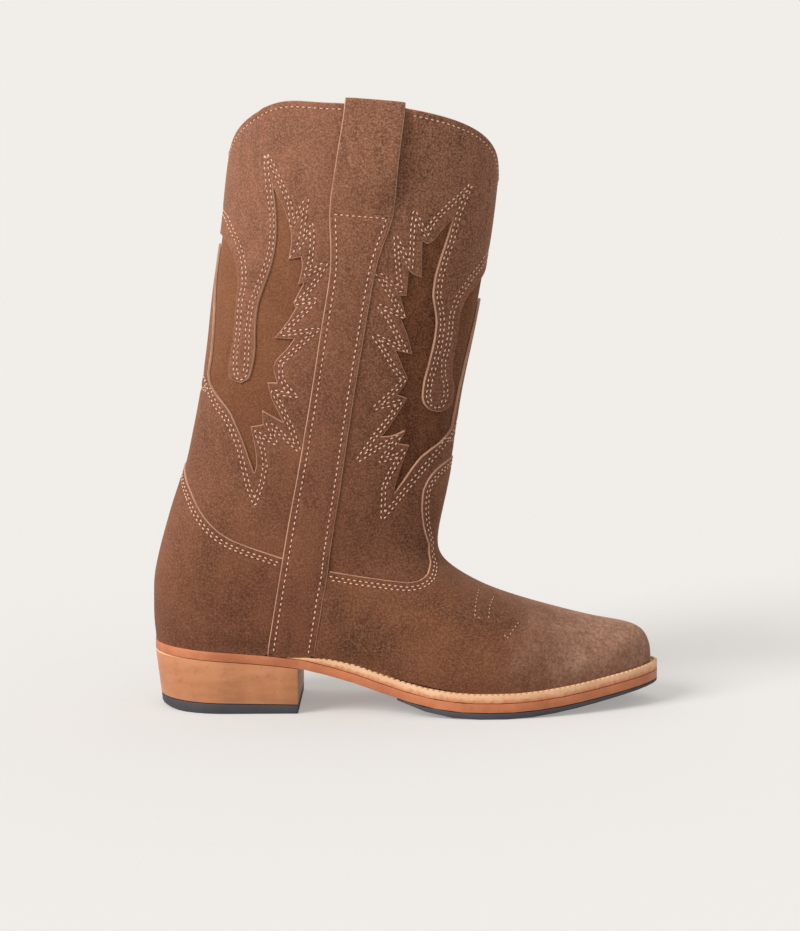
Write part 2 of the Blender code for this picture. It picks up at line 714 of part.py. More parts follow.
def flat_sheet(outline, levels):
    """Sheet over an outline in flat angle and level, cut into the same triangles as the upper."""
    step = 2 * math.pi / AROUND
    first = math.floor(min(theta for theta, level in outline) / step) - 1
    last = math.ceil(max(theta for theta, level in outline) / step) + 1
    wide = last - first + 1
    tall = len(levels)
    points = []
    for depth in (0.0, FLAT_THICKNESS):
        for level in levels:
            points += [(step * i, level * FLAT_LEVEL, depth) for i in range(first, last + 1)]
    faces = []
    top = wide * tall
    for k in range(tall - 1):
        for i in range(wide - 1):
            a = k * wide + i
            b = a + wide
            faces += [(top + a, top + a + 1, top + b + 1), (top + a, top + b + 1, top + b)]
            faces += [(a, b + 1, a + 1), (a, b, b + 1)]
    border = list(range(wide - 1))
    border += [k * wide + wide - 1 for k in range(tall - 1)]
    border += [(tall - 1) * wide + i for i in range(wide - 1, 0, -1)]
    border += [k * wide for k in range(tall - 1, 0, -1)]
    for here, there in zip(border, border[1:] + border[:1]):
        faces.append((here, there, top + there, top + here))
    return flat_object("sheet", points, faces)


def flat_prism(outline):
    """Straight cutter through a sheet, with the outline as its section."""
    count = len(outline)
    points = []
    for depth in (-FLAT_THICKNESS, 2 * FLAT_THICKNESS):
        points += [(theta, level * FLAT_LEVEL, depth) for theta, level in outline]
    faces = [tuple(range(count)), tuple(range(2 * count - 1, count - 1, -1))]
    for i in range(count):
        j = (i + 1) % count
        faces.append((i, count + i, count + j, j))
    prism = flat_object("prism", points, faces)
    shape = bmesh.new()
    shape.from_mesh(prism.data)
    bmesh.ops.recalc_face_normals(shape, faces=shape.faces)
    shape.to_mesh(prism.data)
    shape.free()
    return prism


def cut_flat(sheet, outline, operation):
    """Leave of a sheet what lies inside (INTERSECT) or outside (DIFFERENCE) an outline."""
    prism = flat_prism(outline)
    cut = sheet.modifiers.new("cut", "BOOLEAN")
    cut.operation = operation
    cut.solver = "EXACT"
    cut.object = prism
    bpy.context.view_layer.update()
    graph = bpy.context.evaluated_depsgraph_get()
    mesh = bpy.data.meshes.new_from_object(sheet.evaluated_get(graph))
    sheet.modifiers.clear()
    sheet.data = mesh
    bpy.data.objects.remove(prism, do_unlink=True)


def on_facets(grid, theta, level):
    """Value of a grid over the upper, straight across each of its triangles."""
    a = theta / (2 * math.pi) * AROUND
    b = level / LEVEL_STEP
    i = math.floor(a)
    k = min(math.floor(b), UP_CELLS - 1)
    a -= i
    b -= k
    near = i % AROUND
    far = (i + 1) % AROUND
    if a >= b:
        return grid[k, near] * (1 - a) + grid[k, far] * (a - b) + grid[k + 1, far] * b
    return grid[k, near] * (1 - b) + grid[k + 1, far] * a + grid[k + 1, near] * (b - a)


RIM_UP_GRID = np.broadcast_to(RIM_UP, SKIN.shape)


def wrap(theta, level, offset):
    """Place on the upper moved out by offset; levels past the collar turn over the rim and go inside."""
    turn = min(max(level - COLLAR_LEVEL, 0.0), 1.0)
    inside = max(level - COLLAR_LEVEL - 1.0, 0.0)
    at = min(level, float(COLLAR_LEVEL)) - inside
    point = on_facets(SKIN, theta, at)
    out = on_facets(NORMALS, theta, at)
    if turn == 0.0:
        return point + out * offset
    if inside > 0.0:
        return point - out * (WALL + offset)
    up = on_facets(RIM_UP_GRID, theta, at)
    spoke = out * math.cos(math.pi * turn) + up * math.sin(math.pi * turn)
    return point - out * WALL / 2 + spoke * (WALL / 2 + offset)


def make_layer(name, outline, holes, levels, thickness):
    """Outer layer cut between the upper's skin and the same skin a leather's thickness further out."""
    sheet = flat_sheet(outline, levels)
    cut_flat(sheet, outline, "INTERSECT")
    for hole in holes:
        cut_flat(sheet, hole, "DIFFERENCE")
    shape = bmesh.new()
    shape.from_mesh(sheet.data)
    bmesh.ops.remove_doubles(shape, verts=shape.verts, dist=FLAT_MERGE)
    bmesh.ops.triangulate(shape, faces=shape.faces)
    points = []
    for corner in shape.verts:
        corner.index = len(points)
        theta, flat_level, depth = corner.co
        offset = LAYER_GAP + thickness * depth / FLAT_THICKNESS
        points.append(wrap(theta, flat_level / FLAT_LEVEL, offset))
    faces = [[corner.index for corner in face.verts] for face in shape.faces]
    shape.free()
    bpy.data.objects.remove(sheet, do_unlink=True)
    return finish_object(name, points, faces, SUEDE)


# Vamp: suede over the toe and instep, with a tongue up the shaft's front
VAMP_CORNER_DOWN = 572.0
CORNER_CLEAR = 6.0
vamp_side = strap_path(strap_right, EDGE_GAP_DRAWN, highest=VAMP_CORNER_DOWN + CORNER_CLEAR)
vamp_half = [run_out(vamp_side[:1], BELOW_FEATHER_LEVEL), *vamp_side]
vamp_half.append(on_upper(float(strap_right(VAMP_CORNER_DOWN)) + EDGE_GAP_DRAWN, VAMP_CORNER_DOWN))
vamp_half += [on_upper(*place) for place in VAMP_EDGE]
vamp_half.append(on_middle_line(VAMP_TOP_DOWN, math.pi, 0.0))
vamp_outline = vamp_half + mirrored(vamp_half[:-1], math.pi)
make_layer("vamp", vamp_outline, [], LAYER_LEVELS, VAMP_THICKNESS)

# Counter: suede round the heel
COUNTER_CORNER_DOWN = 558.0
counter_side = strap_path(strap_left, -EDGE_GAP_DRAWN, highest=COUNTER_CORNER_DOWN + CORNER_CLEAR)
counter_half = [run_out(counter_side[:1], BELOW_FEATHER_LEVEL), *counter_side]
counter_half.append(on_upper(float(strap_left(COUNTER_CORNER_DOWN)) - EDGE_GAP_DRAWN, COUNTER_CORNER_DOWN))
counter_half += [on_upper(*place) for place in COUNTER_EDGE]
counter_half.append(on_middle_line(COUNTER_TOP_DOWN, 0.0, 0.0))
counter_outline = counter_half + mirrored(counter_half[:-1], 0.0)
make_layer("counter", counter_outline, [], LAYER_LEVELS, COUNTER_THICKNESS)


# Front and back panels: the shaft's outer suede between the strips, with the flame windows cut out
def panel_outline(top_down, foot_line, corner_down, strap_edge, aside, middle):
    """Panel from its middle line along its foot to the strip, up the strip and over the rim."""
    side = strap_path(strap_edge, aside, lowest=corner_down - CORNER_CLEAR)
    corner = on_upper(float(strap_edge(corner_down)) + aside, corner_down - 2 * EDGE_GAP_DRAWN)
    half = [on_middle_line(top_down - EDGE_GAP_DRAWN, middle, 0.0)]
    half += [on_upper(*place) for place in reversed(foot_line)]
    half += [corner, *side, run_out(side, ABOVE_RIM_LEVEL)]
    return half + mirrored(half[1:], middle)


def window_outline(tongue_top_down, window, flame, flame_top_down, middle):
    """Window on both sides of a middle line, round the hanging tongues and the middle flame."""
    half = [on_middle_line(tongue_top_down, middle, 0.0)]
    half += [on_upper(*place) for place in window]
    half += [on_middle_line(row["down"], middle, row["half"]) for row in flame]
    half.append(on_middle_line(flame_top_down, middle, 0.0))
    return half + mirrored(half[1:-1], middle)


front_foot = moved_aside(VAMP_EDGE, EDGE_GAP_DRAWN)
front_outline = panel_outline(
    VAMP_TOP_DOWN, front_foot, VAMP_CORNER_DOWN, strap_right, EDGE_GAP_DRAWN, math.pi)
front_hole = window_outline(
    FRONT_TONGUE_TOP_DOWN, FRONT_WINDOW, FRONT_FLAME, FRONT_FLAME_TOP_DOWN, math.pi)
make_layer("front_panel", front_outline, [front_hole], LAYER_LEVELS, PANEL_THICKNESS)

back_foot = moved_aside(COUNTER_EDGE, -EDGE_GAP_DRAWN)
back_outline = panel_outline(
    COUNTER_TOP_DOWN, back_foot, COUNTER_CORNER_DOWN, strap_left, -EDGE_GAP_DRAWN, 0.0)
back_hole = window_outline(
    BACK_TONGUE_TOP_DOWN, BACK_WINDOW, BACK_FLAME, BACK_FLAME_TOP_DOWN, 0.0)
make_layer("back_panel", back_outline, [back_hole], LAYER_LEVELS, PANEL_THICKNESS)

# Side strips: from the sole up both side seams, over the rim as pull loops and down inside
strap_front = strap_path(strap_right, 0.0)
strap_back = strap_path(strap_left, 0.0)
LOOP_END_LEVEL = LOOP_LEVELS[-1] + LEVEL_STEP
strap_outline = [run_out(strap_front[:1], BELOW_FEATHER_LEVEL), *strap_front]
strap_outline += [run_out(strap_front, LOOP_END_LEVEL), run_out(strap_back, LOOP_END_LEVEL)]
strap_outline += [*reversed(strap_back), run_out(strap_back[:1], BELOW_FEATHER_LEVEL)]
STRAP_LEVELS = LAYER_LEVELS + LOOP_LEVELS
make_layer("side_strap_lateral", strap_outline, [], STRAP_LEVELS, STRAP_THICKNESS)
strap_mirror = mirrored(strap_outline, math.pi)
make_layer("side_strap_medial", strap_mirror, [], STRAP_LEVELS, STRAP_THICKNESS)
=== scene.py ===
"""Looks of a right western boot in brown suede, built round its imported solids."""
import json
import math

import bmesh
import bpy
import numpy as np
from mathutils import Euler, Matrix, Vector
from mathutils.bvhtree import BVHTree
from mathutils.kdtree import KDTree

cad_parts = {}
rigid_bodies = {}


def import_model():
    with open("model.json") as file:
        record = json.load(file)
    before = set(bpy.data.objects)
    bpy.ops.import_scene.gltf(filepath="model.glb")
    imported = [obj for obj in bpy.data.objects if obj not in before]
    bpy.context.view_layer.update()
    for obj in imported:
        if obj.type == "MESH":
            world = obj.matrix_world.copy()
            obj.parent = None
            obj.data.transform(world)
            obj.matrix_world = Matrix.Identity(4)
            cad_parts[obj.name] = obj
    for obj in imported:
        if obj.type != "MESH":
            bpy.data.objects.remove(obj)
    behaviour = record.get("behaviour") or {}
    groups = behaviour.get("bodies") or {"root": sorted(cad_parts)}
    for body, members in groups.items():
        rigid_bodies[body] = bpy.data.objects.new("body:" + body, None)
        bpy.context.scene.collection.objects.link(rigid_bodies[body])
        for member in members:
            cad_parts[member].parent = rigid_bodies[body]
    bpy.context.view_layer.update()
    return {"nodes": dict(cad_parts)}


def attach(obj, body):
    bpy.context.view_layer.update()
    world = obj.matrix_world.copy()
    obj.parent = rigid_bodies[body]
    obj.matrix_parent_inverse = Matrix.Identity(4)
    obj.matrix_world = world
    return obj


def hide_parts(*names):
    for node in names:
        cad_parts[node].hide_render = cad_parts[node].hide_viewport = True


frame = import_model()

# Upper. The boot's body is one wall of leather drawn over the last, open at the collar and underneath.
# Its outside is a dark suede that shows only in the flame windows; inside it is lined with smooth leather.
MM = 0.001
WALL = 2.0 * MM
# Only edges across the wall's rims are shorter than this
RIM_EDGES_BELOW = 1.2 * WALL
# Points of a solid, and of a sheet taken from it, that lie closer together than this are one
MERGE = 0.02 * MM
MERGE_SHEET = 0.5 * MM
# The body's lower edge lies below the first height, its collar above the second
FEATHER_BELOW = 60 * MM
COLLAR_ABOVE = 250 * MM

# Soft hollows and swells of the leather where a foot would bend it and where the shaft hangs slack: place in
# the side view, x and z; length and width; turn from level in degrees; and rise. The rest is in mm.
SOFT_FOLDS = {
    "ankle hollow": (-22, 96, 34, 15, 35, -1.3),
    "bend swell": (3, 84, 22, 8, 48, 0.7),
    "heel hollow": (-104, 112, 30, 13, 75, -0.8),
    "first flex": (36, 50, 20, 5, 112, -0.5),
    "second flex": (52, 44, 20, 5, 108, -0.45),
    "back wave": (-86, 172, 55, 13, 82, -0.8),
    "strap wave": (-24, 150, 60, 12, 84, -0.6),
    "front wave": (8, 196, 60, 13, 78, -0.9),
    "upper swell": (-66, 262, 45, 17, 84, 0.6),
    "collar swell": (20, 288, 34, 20, 70, 0.6),
}
FOLD_SIDE_FADE = 16.0


def hands_on(piece):
    """Make one piece the only selected and active object, so that operators act on it alone."""
    bpy.ops.object.select_all(action="DESELECT")
    piece.select_set(True)
    bpy.context.view_layer.objects.active = piece


def merge_points(piece, distance):
    """Merge the points of a piece that lie closer together than a distance."""
    hands_on(piece)
    bpy.ops.object.mode_set(mode="EDIT")
    bpy.ops.mesh.select_all(action="SELECT")
    bpy.ops.mesh.remove_doubles(threshold=distance)
    bpy.ops.mesh.select_all(action="DESELECT")
    bpy.ops.object.mode_set(mode="OBJECT")


def copy_of_node(node, name):
    """A copy of a solid's mesh as a new piece, with its loose triangles merged."""
    piece = bpy.data.objects.new(name, frame["nodes"][node].data.copy())
    bpy.context.scene.collection.objects.link(piece)
    piece.data.materials.clear()
    hands_on(piece)
    bpy.ops.mesh.customdata_custom_splitnormals_clear()
    merge_points(piece, MERGE)
    return piece


def apply_modifier(piece, kind, **settings):
    """Add a modifier to a piece and apply it."""
    hands_on(piece)
    modifier = piece.modifiers.new(kind.title(), kind)
    for key, value in settings.items():
        setattr(modifier, key, value)
    bpy.ops.object.modifier_apply(modifier=modifier.name)


def select_where(piece, kind, test):
    """Select those points or edges of a piece, in edit mode, that pass a test, and count them."""
    bpy.ops.mesh.select_mode(type=kind)
    bpy.ops.mesh.select_all(action="DESELECT")
    shape = bmesh.from_edit_mesh(piece.data)
    parts = shape.verts if kind == "VERT" else shape.edges
    for part in parts:
        part.select_set(test(part))
    count = sum(part.select for part in parts)
    bmesh.update_edit_mesh(piece.data)
    return count


def keep_outside(piece):
    """Delete the wall's rims and its inner face, and leave the outer face as a sheet."""
    bpy.ops.object.mode_set(mode="EDIT")
    select_where(piece, "EDGE", lambda edge: edge.calc_length() < RIM_EDGES_BELOW)
    bpy.ops.mesh.delete(type="EDGE")
    bpy.ops.mesh.select_all(action="SELECT")
    bpy.ops.mesh.delete_loose(use_verts=False, use_edges=True)
    widest = max(abs(vert.co.y) for vert in bmesh.from_edit_mesh(piece.data).verts)
    select_where(piece, "VERT", lambda vert: abs(vert.co.y) == widest)
    bpy.ops.mesh.select_linked()
    bpy.ops.mesh.select_all(action="INVERT")
    bpy.ops.mesh.delete(type="VERT")
    bpy.ops.object.mode_set(mode="OBJECT")


def dissolve_diagonals(piece):
    """Turn the rows of triangles, from the feather edge up to the collar, back into four-sided cells."""
    bpy.ops.object.mode_set(mode="EDIT")
    bpy.ops.mesh.select_mode(type="EDGE")
    bpy.ops.mesh.select_all(action="DESELECT")
    shape = bmesh.from_edit_mesh(piece.data)
    row = {}
    for edge in shape.edges:
        if edge.is_boundary and edge.verts[0].co.z < FEATHER_BELOW:
            loop = edge.link_loops[0]
            row[loop.vert] = loop.link_loop_next.vert
    used = set()
    while row:
        above = {}
        for here, there in row.items():
            faces = [face for face in shape.edges.get((here, there)).link_faces if face not in used]
            if not faces:
                break
            apex = next(vert for vert in faces[0].verts if vert not in (here, there))
            diagonal = shape.edges.get((here, apex))
            diagonal.select_set(True)
            used.update(diagonal.link_faces)
            above[there] = apex
        row = {above[here]: above[there] for here, there in row.items()} if above else {}
    bmesh.update_edit_mesh(piece.data)
    bpy.ops.mesh.dissolve_edges(use_verts=False)
    bpy.ops.object.mode_set(mode="OBJECT")


def shape_of(piece):
    """A piece's mesh opened to be read or changed point by point."""
    shape = bmesh.new()
    shape.from_mesh(piece.data)
    return shape


def keep_corners(piece, turn):
    """Mark the points where a sheet's edge turns by more than an angle, so that rounding leaves them sharp,
    but not the tops of the arches over the boot's middle line."""
    shape = shape_of(piece)
    crease = shape.verts.layers.float.get("crease_vert") or shape.verts.layers.float.new("crease_vert")
    for vert in shape.verts:
        sides = [edge.other_vert(vert).co - vert.co for edge in vert.link_edges if edge.is_boundary]
        if len(sides) != 2 or math.pi - sides[0].angle(sides[1]) < turn:
            continue
        arch = abs(vert.co.y) < MM and (sides[0] + sides[1]).z < 0 and vert.co.z < COLLAR_ABOVE
        sheet_above = max(edge.other_vert(vert).co.z for edge in vert.link_edges) > vert.co.z + MM
        vert[crease] = 0.0 if arch and sheet_above else 1.0
    shape.to_mesh(piece.data)
    shape.free()


def fold_rise(points):
    """How far the soft folds push each point out of the skin, metres."""
    x, y, z = (points / MM).T
    side = np.clip(np.abs(y) / FOLD_SIDE_FADE, 0.0, 1.0)
    total = np.zeros(len(points))
    for middle_x, middle_z, long, wide, turn, rise in SOFT_FOLDS.values():
        cos, sin = math.cos(math.radians(turn)), math.sin(math.radians(turn))
        along = (x - middle_x) * cos + (z - middle_z) * sin
        across = (z - middle_z) * cos - (x - middle_x) * sin
        total += rise * np.exp(-((along / long) ** 2) - (across / wide) ** 2)
    return total * side * MM


def points_of(piece, what="co"):
    """A piece's points, or their normals, as rows of three numbers."""
    values = np.empty(len(piece.data.vertices) * 3)
    piece.data.vertices.foreach_get(what, values)
    return values.reshape(-1, 3)


def move_points(piece, points):
    """Put a piece's points at new places."""
    piece.data.vertices.foreach_set("co", points.ravel())
    piece.data.update()


# The collar rises a little behind the side strip and dips further at the middle of the back, where a sharp
# nick of the solid is filled, mm
COLLAR_RISE = {"x": -68, "wide": 17, "rise": 3.0}
COLLAR_DIP = {"behind": -80, "wide": 24, "rise": -5.0}
COLLAR_FILL = {"wide": 2.0, "rise": 16.0}
COLLAR_SET_FROM = 285
COLLAR_SET_FULL = 325


def set_collar(piece):
    """Raise and lower a piece's points near the collar."""
    points = points_of(piece)
    x, y, z = (points / MM).T
    share = np.clip((z - COLLAR_SET_FROM) / (COLLAR_SET_FULL - COLLAR_SET_FROM), 0.0, 1.0)
    rise = COLLAR_RISE["rise"] * np.exp(-(((x - COLLAR_RISE["x"]) / COLLAR_RISE["wide"]) ** 2))
    dip = COLLAR_DIP["rise"] * np.exp(-((y / COLLAR_DIP["wide"]) ** 2))
    fill = COLLAR_FILL["rise"] * np.exp(-((y / COLLAR_FILL["wide"]) ** 2))
    points[:, 2] += MM * share * (rise + (dip + fill) * (x < COLLAR_DIP["behind"]))
    move_points(piece, points)


SKIN_ROUNDING = {"levels": 2, "render_levels": 2}
SKIN_CORNER = math.radians(25)
ROUNDING_PASSES = 4


def round_through(piece, rounding):
    """Subdivide a piece so that its smooth surface still passes through the points it has."""
    wanted = points_of(piece)
    cage = wanted.copy()
    for _ in range(ROUNDING_PASSES):
        trial = piece.copy()
        trial.data = piece.data.copy()
        bpy.context.scene.collection.objects.link(trial)
        apply_modifier(trial, "SUBSURF", **rounding)
        cage += wanted - points_of(trial)[:len(wanted)]
        bpy.data.objects.remove(trial)
        move_points(piece, cage)
    apply_modifier(piece, "SUBSURF", **rounding)


def tree_of(piece):
    """Search tree over a piece's faces."""
    corners = [vert.co.copy() for vert in piece.data.vertices]
    return BVHTree.FromPolygons(corners, [tuple(face.vertices) for face in piece.data.polygons])


wall_tree = tree_of(frame["nodes"]["upper"])
# Where the rows of cells crowd together at the back, below the collar, mm
CROWDED = {"behind": -90, "half_wide": 3.5, "from": 245, "to": 295}
SPREAD_REPEAT = 12


def at_back(vert, place):
    """Whether a point lies in a narrow place on the middle of the back."""
    x, y, z = vert.co / MM
    return x < place["behind"] and abs(y) < place["half_wide"] and place["from"] < z < place["to"]


def spread_crowded(piece):
    """Spread the crowded points at the back over the wall's surface."""
    bpy.ops.object.mode_set(mode="EDIT")
    select_where(piece, "VERT", lambda vert: at_back(vert, CROWDED))
    bpy.ops.mesh.vertices_smooth(factor=0.5, repeat=SPREAD_REPEAT)
    shape = bmesh.from_edit_mesh(piece.data)
    for vert in shape.verts:
        if vert.select:
            vert.co = wall_tree.find_nearest(vert.co)[0]
    bmesh.update_edit_mesh(piece.data)
    bpy.ops.object.mode_set(mode="OBJECT")


upper = copy_of_node("upper", "boot_body")
keep_outside(upper)
dissolve_diagonals(upper)
merge_points(upper, MERGE_SHEET)
spread_crowded(upper)
keep_corners(upper, SKIN_CORNER)
set_collar(upper)
round_through(upper, SKIN_ROUNDING)
move_points(upper, points_of(upper) + points_of(upper, "normal") * fold_rise(points_of(upper))[:, None])
hands_on(upper)
bpy.ops.object.shade_smooth()


def linear(hex_colour):
    """An sRGB hex value as a linear colour."""
    channels = [int(hex_colour[i:i + 2], 16) / 255 for i in (1, 3, 5)]
    return [c / 12.92 if c <= 0.04045 else ((c + 0.055) / 1.055) ** 2.4 for c in channels] + [1.0]


def add_node(tree, kind, inputs=None, **settings):
    """Add a shader node with its settings; each input is a value or another node's output to link."""
    node = tree.nodes.new(kind)
    for key, value in settings.items():
        setattr(node, key, value)
    for socket, value in (inputs or {}).items():
        if isinstance(value, bpy.types.NodeSocket):
            tree.links.new(value, node.inputs[socket])
        else:
            node.inputs[socket].default_value = value
    return node


def per_size(millimetres):
    """Texture scale, per metre, at which one feature of a pattern is this long."""
    return 1000.0 / millimetres


def new_material(name):
    """A new material, its nodes and its main shader."""
    material = bpy.data.materials.new(name)
    material.use_nodes = True
    return material, material.node_tree, material.node_tree.nodes["Principled BSDF"]


# Sockets of a colour mix: its two colours and the one that comes out
MIX_A = 6
MIX_B = 7
MIX_OUT = 2
# Between these heights a painted shade fades from darkest, at the foot, to none: it stands for light that
# falls off lower down
PAINTED_SHADE_LOW = 40 * MM
PAINTED_SHADE_HIGH = 310 * MM
PAINTED_SHADE_DARKEST = linear("#c9bdb1")
PAINTED_SHADE_NONE = linear("#ffffff")
# Strokes of the brush lean, and are drawn out along their length
STROKE_LEAN = Euler((0.0, math.radians(24), 0.0))
STROKE_STRETCH = (1.0, 1.0, 0.35)
# Marks in the nap: size in mm; detail, roughness and distortion of the noise; the part of it that counts;
# and its least and greatest effect
NAP_MARKS = {
    "patches": (38.0, 5.0, 0.62, 0.8, (0.36, 0.64), (0.0, 1.0)),
    "strokes": (7.0, 4.0, 0.65, 0.0, (0.32, 0.68), (0.0, 0.6)),
    "fibres": (1.0, 2.0, 0.6, 0.0, (0.4, 0.8), (0.0, 0.62)),
    "specks": (2.0, 2.0, 0.7, 0.0, (0.35, 0.65), (0.6, 1.3)),
}


def suede(name, dark, mid, light, other, other_from, other_to):
    """Split leather with a brushed nap: matt, mottled where the fibres lie this way and that, and finely
    speckled by fibre ends that catch the light. Along the boot, between two places in mm, it turns to
    another colour, and a painted shade darkens it towards the foot. Fibres are drawn wider than real,
    to show."""
    material, tree, shader = new_material(name)
    place = add_node(tree, "ShaderNodeTexCoord").outputs["Object"]
    brushed_place = add_node(tree, "ShaderNodeMapping", {
        "Vector": place, "Rotation": STROKE_LEAN, "Scale": STROKE_STRETCH})
    height = {}
    share = {}
    for mark, (size, detail, rough, stir, (least, most), (low, high)) in NAP_MARKS.items():
        noise = add_node(tree, "ShaderNodeTexNoise", {
            "Vector": brushed_place.outputs["Vector"] if mark == "strokes" else place,
            "Scale": per_size(size), "Detail": detail, "Roughness": rough, "Distortion": stir})
        height[mark] = noise.outputs["Fac"]
        part = add_node(tree, "ShaderNodeMapRange", {
            "Value": height[mark], "From Min": least, "From Max": most, "To Min": low, "To Max": high})
        share[mark] = part.outputs["Result"]
    along = add_node(tree, "ShaderNodeSeparateXYZ", {"Vector": place})
    wander = add_node(tree, "ShaderNodeMath", {
        0: height["patches"], 1: (other_to - other_from) * MM, 2: along.outputs["X"]},
        operation="MULTIPLY_ADD")
    other_share = add_node(tree, "ShaderNodeMapRange", {
        "Value": wander.outputs["Value"], "From Min": (other_from + other_to) / 2 * MM,
        "From Max": (3 * other_to - other_from) / 2 * MM}, interpolation_type="SMOOTHSTEP")
    ground = add_node(tree, "ShaderNodeMix", {
        0: share["patches"], MIX_A: linear(dark), MIX_B: linear(mid)}, data_type="RGBA")
    speckled = add_node(tree, "ShaderNodeMix", {
        0: 1.0, MIX_A: linear(other), MIX_B: share["specks"]}, data_type="RGBA", blend_type="MULTIPLY")
    turned = add_node(tree, "ShaderNodeMix", {
        0: other_share.outputs["Result"], MIX_A: ground.outputs[MIX_OUT],
        MIX_B: speckled.outputs[MIX_OUT]}, data_type="RGBA")
    napped = add_node(tree, "ShaderNodeMix", {
        0: share["strokes"], MIX_A: turned.outputs[MIX_OUT], MIX_B: linear(mid)}, data_type="RGBA")
    tipped = add_node(tree, "ShaderNodeMix", {
        0: share["fibres"], MIX_A: napped.outputs[MIX_OUT], MIX_B: linear(light)}, data_type="RGBA")
    # Painted shade: the colour is darkened towards the foot, by height alone
    painted_shade_share = add_node(tree, "ShaderNodeMapRange", {
        "Value": along.outputs["Z"], "From Min": PAINTED_SHADE_LOW, "From Max": PAINTED_SHADE_HIGH})
    painted_shade_colour = add_node(tree, "ShaderNodeMix", {
        0: painted_shade_share.outputs["Result"], MIX_A: PAINTED_SHADE_DARKEST, MIX_B: PAINTED_SHADE_NONE}, data_type="RGBA")
    shaded = add_node(tree, "ShaderNodeMix", {
        0: 1.0, MIX_A: tipped.outputs[MIX_OUT], MIX_B: painted_shade_colour.outputs[MIX_OUT]},
        data_type="RGBA", blend_type="MULTIPLY")
    tree.links.new(shaded.outputs[MIX_OUT], shader.inputs["Base Color"])
    rough = add_node(tree, "ShaderNodeMapRange", {"Value": height["fibres"], "To Min": 0.86, "To Max": 1.0})
    tree.links.new(rough.outputs["Result"], shader.inputs["Roughness"])
    nap = add_node(tree, "ShaderNodeBump", {
        "Height": height["fibres"], "Strength": 0.6, "Distance": 0.3 * MM})
    lie = add_node(tree, "ShaderNodeBump", {
        "Height": height["strokes"], "Strength": 0.4, "Distance": 0.5 * MM, "Normal": nap.outputs["Normal"]})
    tree.links.new(lie.outputs["Normal"], shader.inputs["Normal"])
    shader.inputs["Specular IOR Level"].default_value = 0.12
    shader.inputs["Sheen Weight"].default_value = 0.35
    shader.inputs["Sheen Roughness"].default_value = 0.5
    shader.inputs["Sheen Tint"].default_value = linear(light)
    return material


CLOUD_MM = 18.0
ROUGH_SPREAD = 0.08


def grained(name, dark, light, pore_mm, roughness):
    """A plain material, waxy or dry: soft clouds of colour, and pores drawn coarser than real, to show."""
    material, tree, shader = new_material(name)
    place = add_node(tree, "ShaderNodeTexCoord").outputs["Object"]
    clouds = add_node(tree, "ShaderNodeTexNoise", {
        "Vector": place, "Scale": per_size(CLOUD_MM), "Detail": 5.0, "Roughness": 0.65})
    cloud_share = add_node(tree, "ShaderNodeMapRange", {
        "Value": clouds.outputs["Fac"], "From Min": 0.3, "From Max": 0.7})
    ground = add_node(tree, "ShaderNodeMix", {
        0: cloud_share.outputs["Result"], MIX_A: linear(dark), MIX_B: linear(light)}, data_type="RGBA")
    tree.links.new(ground.outputs[MIX_OUT], shader.inputs["Base Color"])
    pores = add_node(tree, "ShaderNodeTexVoronoi", {"Vector": place, "Scale": per_size(pore_mm)})
    grain = add_node(tree, "ShaderNodeBump", {
        "Height": pores.outputs["Distance"], "Strength": 0.25, "Distance": 0.15 * MM})
    tree.links.new(grain.outputs["Normal"], shader.inputs["Normal"])
    rough = add_node(tree, "ShaderNodeMapRange", {
        "Value": clouds.outputs["Fac"],
        "To Min": roughness - ROUGH_SPREAD, "To Max": roughness + ROUGH_SPREAD})
    tree.links.new(rough.outputs["Result"], shader.inputs["Roughness"])
    shader.inputs["Specular IOR Level"].default_value = 0.4
    return material


# Dark split suede, dyed through: matt and brushed like the layers over it, and deeper brown to the front,
# partly by its dye and partly by painted shade where the windows turn away from the key light
under_suede = suede("under_suede", "#633c26", "#704730", "#94694f", "#42220f", -62, -18)
# Undyed lining leather, rubbed smooth: pale, dry and even
lining = grained("lining_leather", "#9a7350", "#b58c66", 1.2, 0.6)
# The core of the hide, cut with a knife: paler than the nap, fuzzy and without gloss
raw_edge = grained("raw_suede_edge", "#8f6850", "#b08a72", 0.8, 0.85)

# Suede layers. Vamp, counter and the two shaft panels are cut from brown suede about 1.2 to 2 mm thick and
# sewn flat on the body; their edges are left raw and show the paler core of the hide.
LAYER_GAP = 0.4 * MM
# The top of the back window's arch, where a nub of the solid is gathered into one point, mm
ARCH_TOP = {"behind": -90, "half_wide": 1.5, "from": 266, "to": 272}
LAYERS = [
    {"node": "front_panel", "name": "front_shaft_panel", "thick": 1.2 * MM, "edge": 0.45 * MM, "passes": 30},
    {"node": "back_panel", "name": "back_shaft_panel", "thick": 1.2 * MM, "edge": 0.45 * MM, "passes": 30},
    {"node": "vamp", "name": "vamp_cover", "thick": 2.0 * MM, "edge": 0.6 * MM, "passes": 120},
    {"node": "counter", "name": "heel_cover", "thick": 2.0 * MM, "edge": 0.6 * MM, "passes": 120},
]
SHEET_ROUNDING = {"levels": 3, "render_levels": 3}
CORNER_TURN = math.radians(35)
# The cut edge rounds over in three steps: share of its width outward, share of the thickness down
EDGE_STEPS = [(0.45, 0.08), (0.4, 0.3), (0.15, 0.75)]
MITRE_LIMIT = 0.5


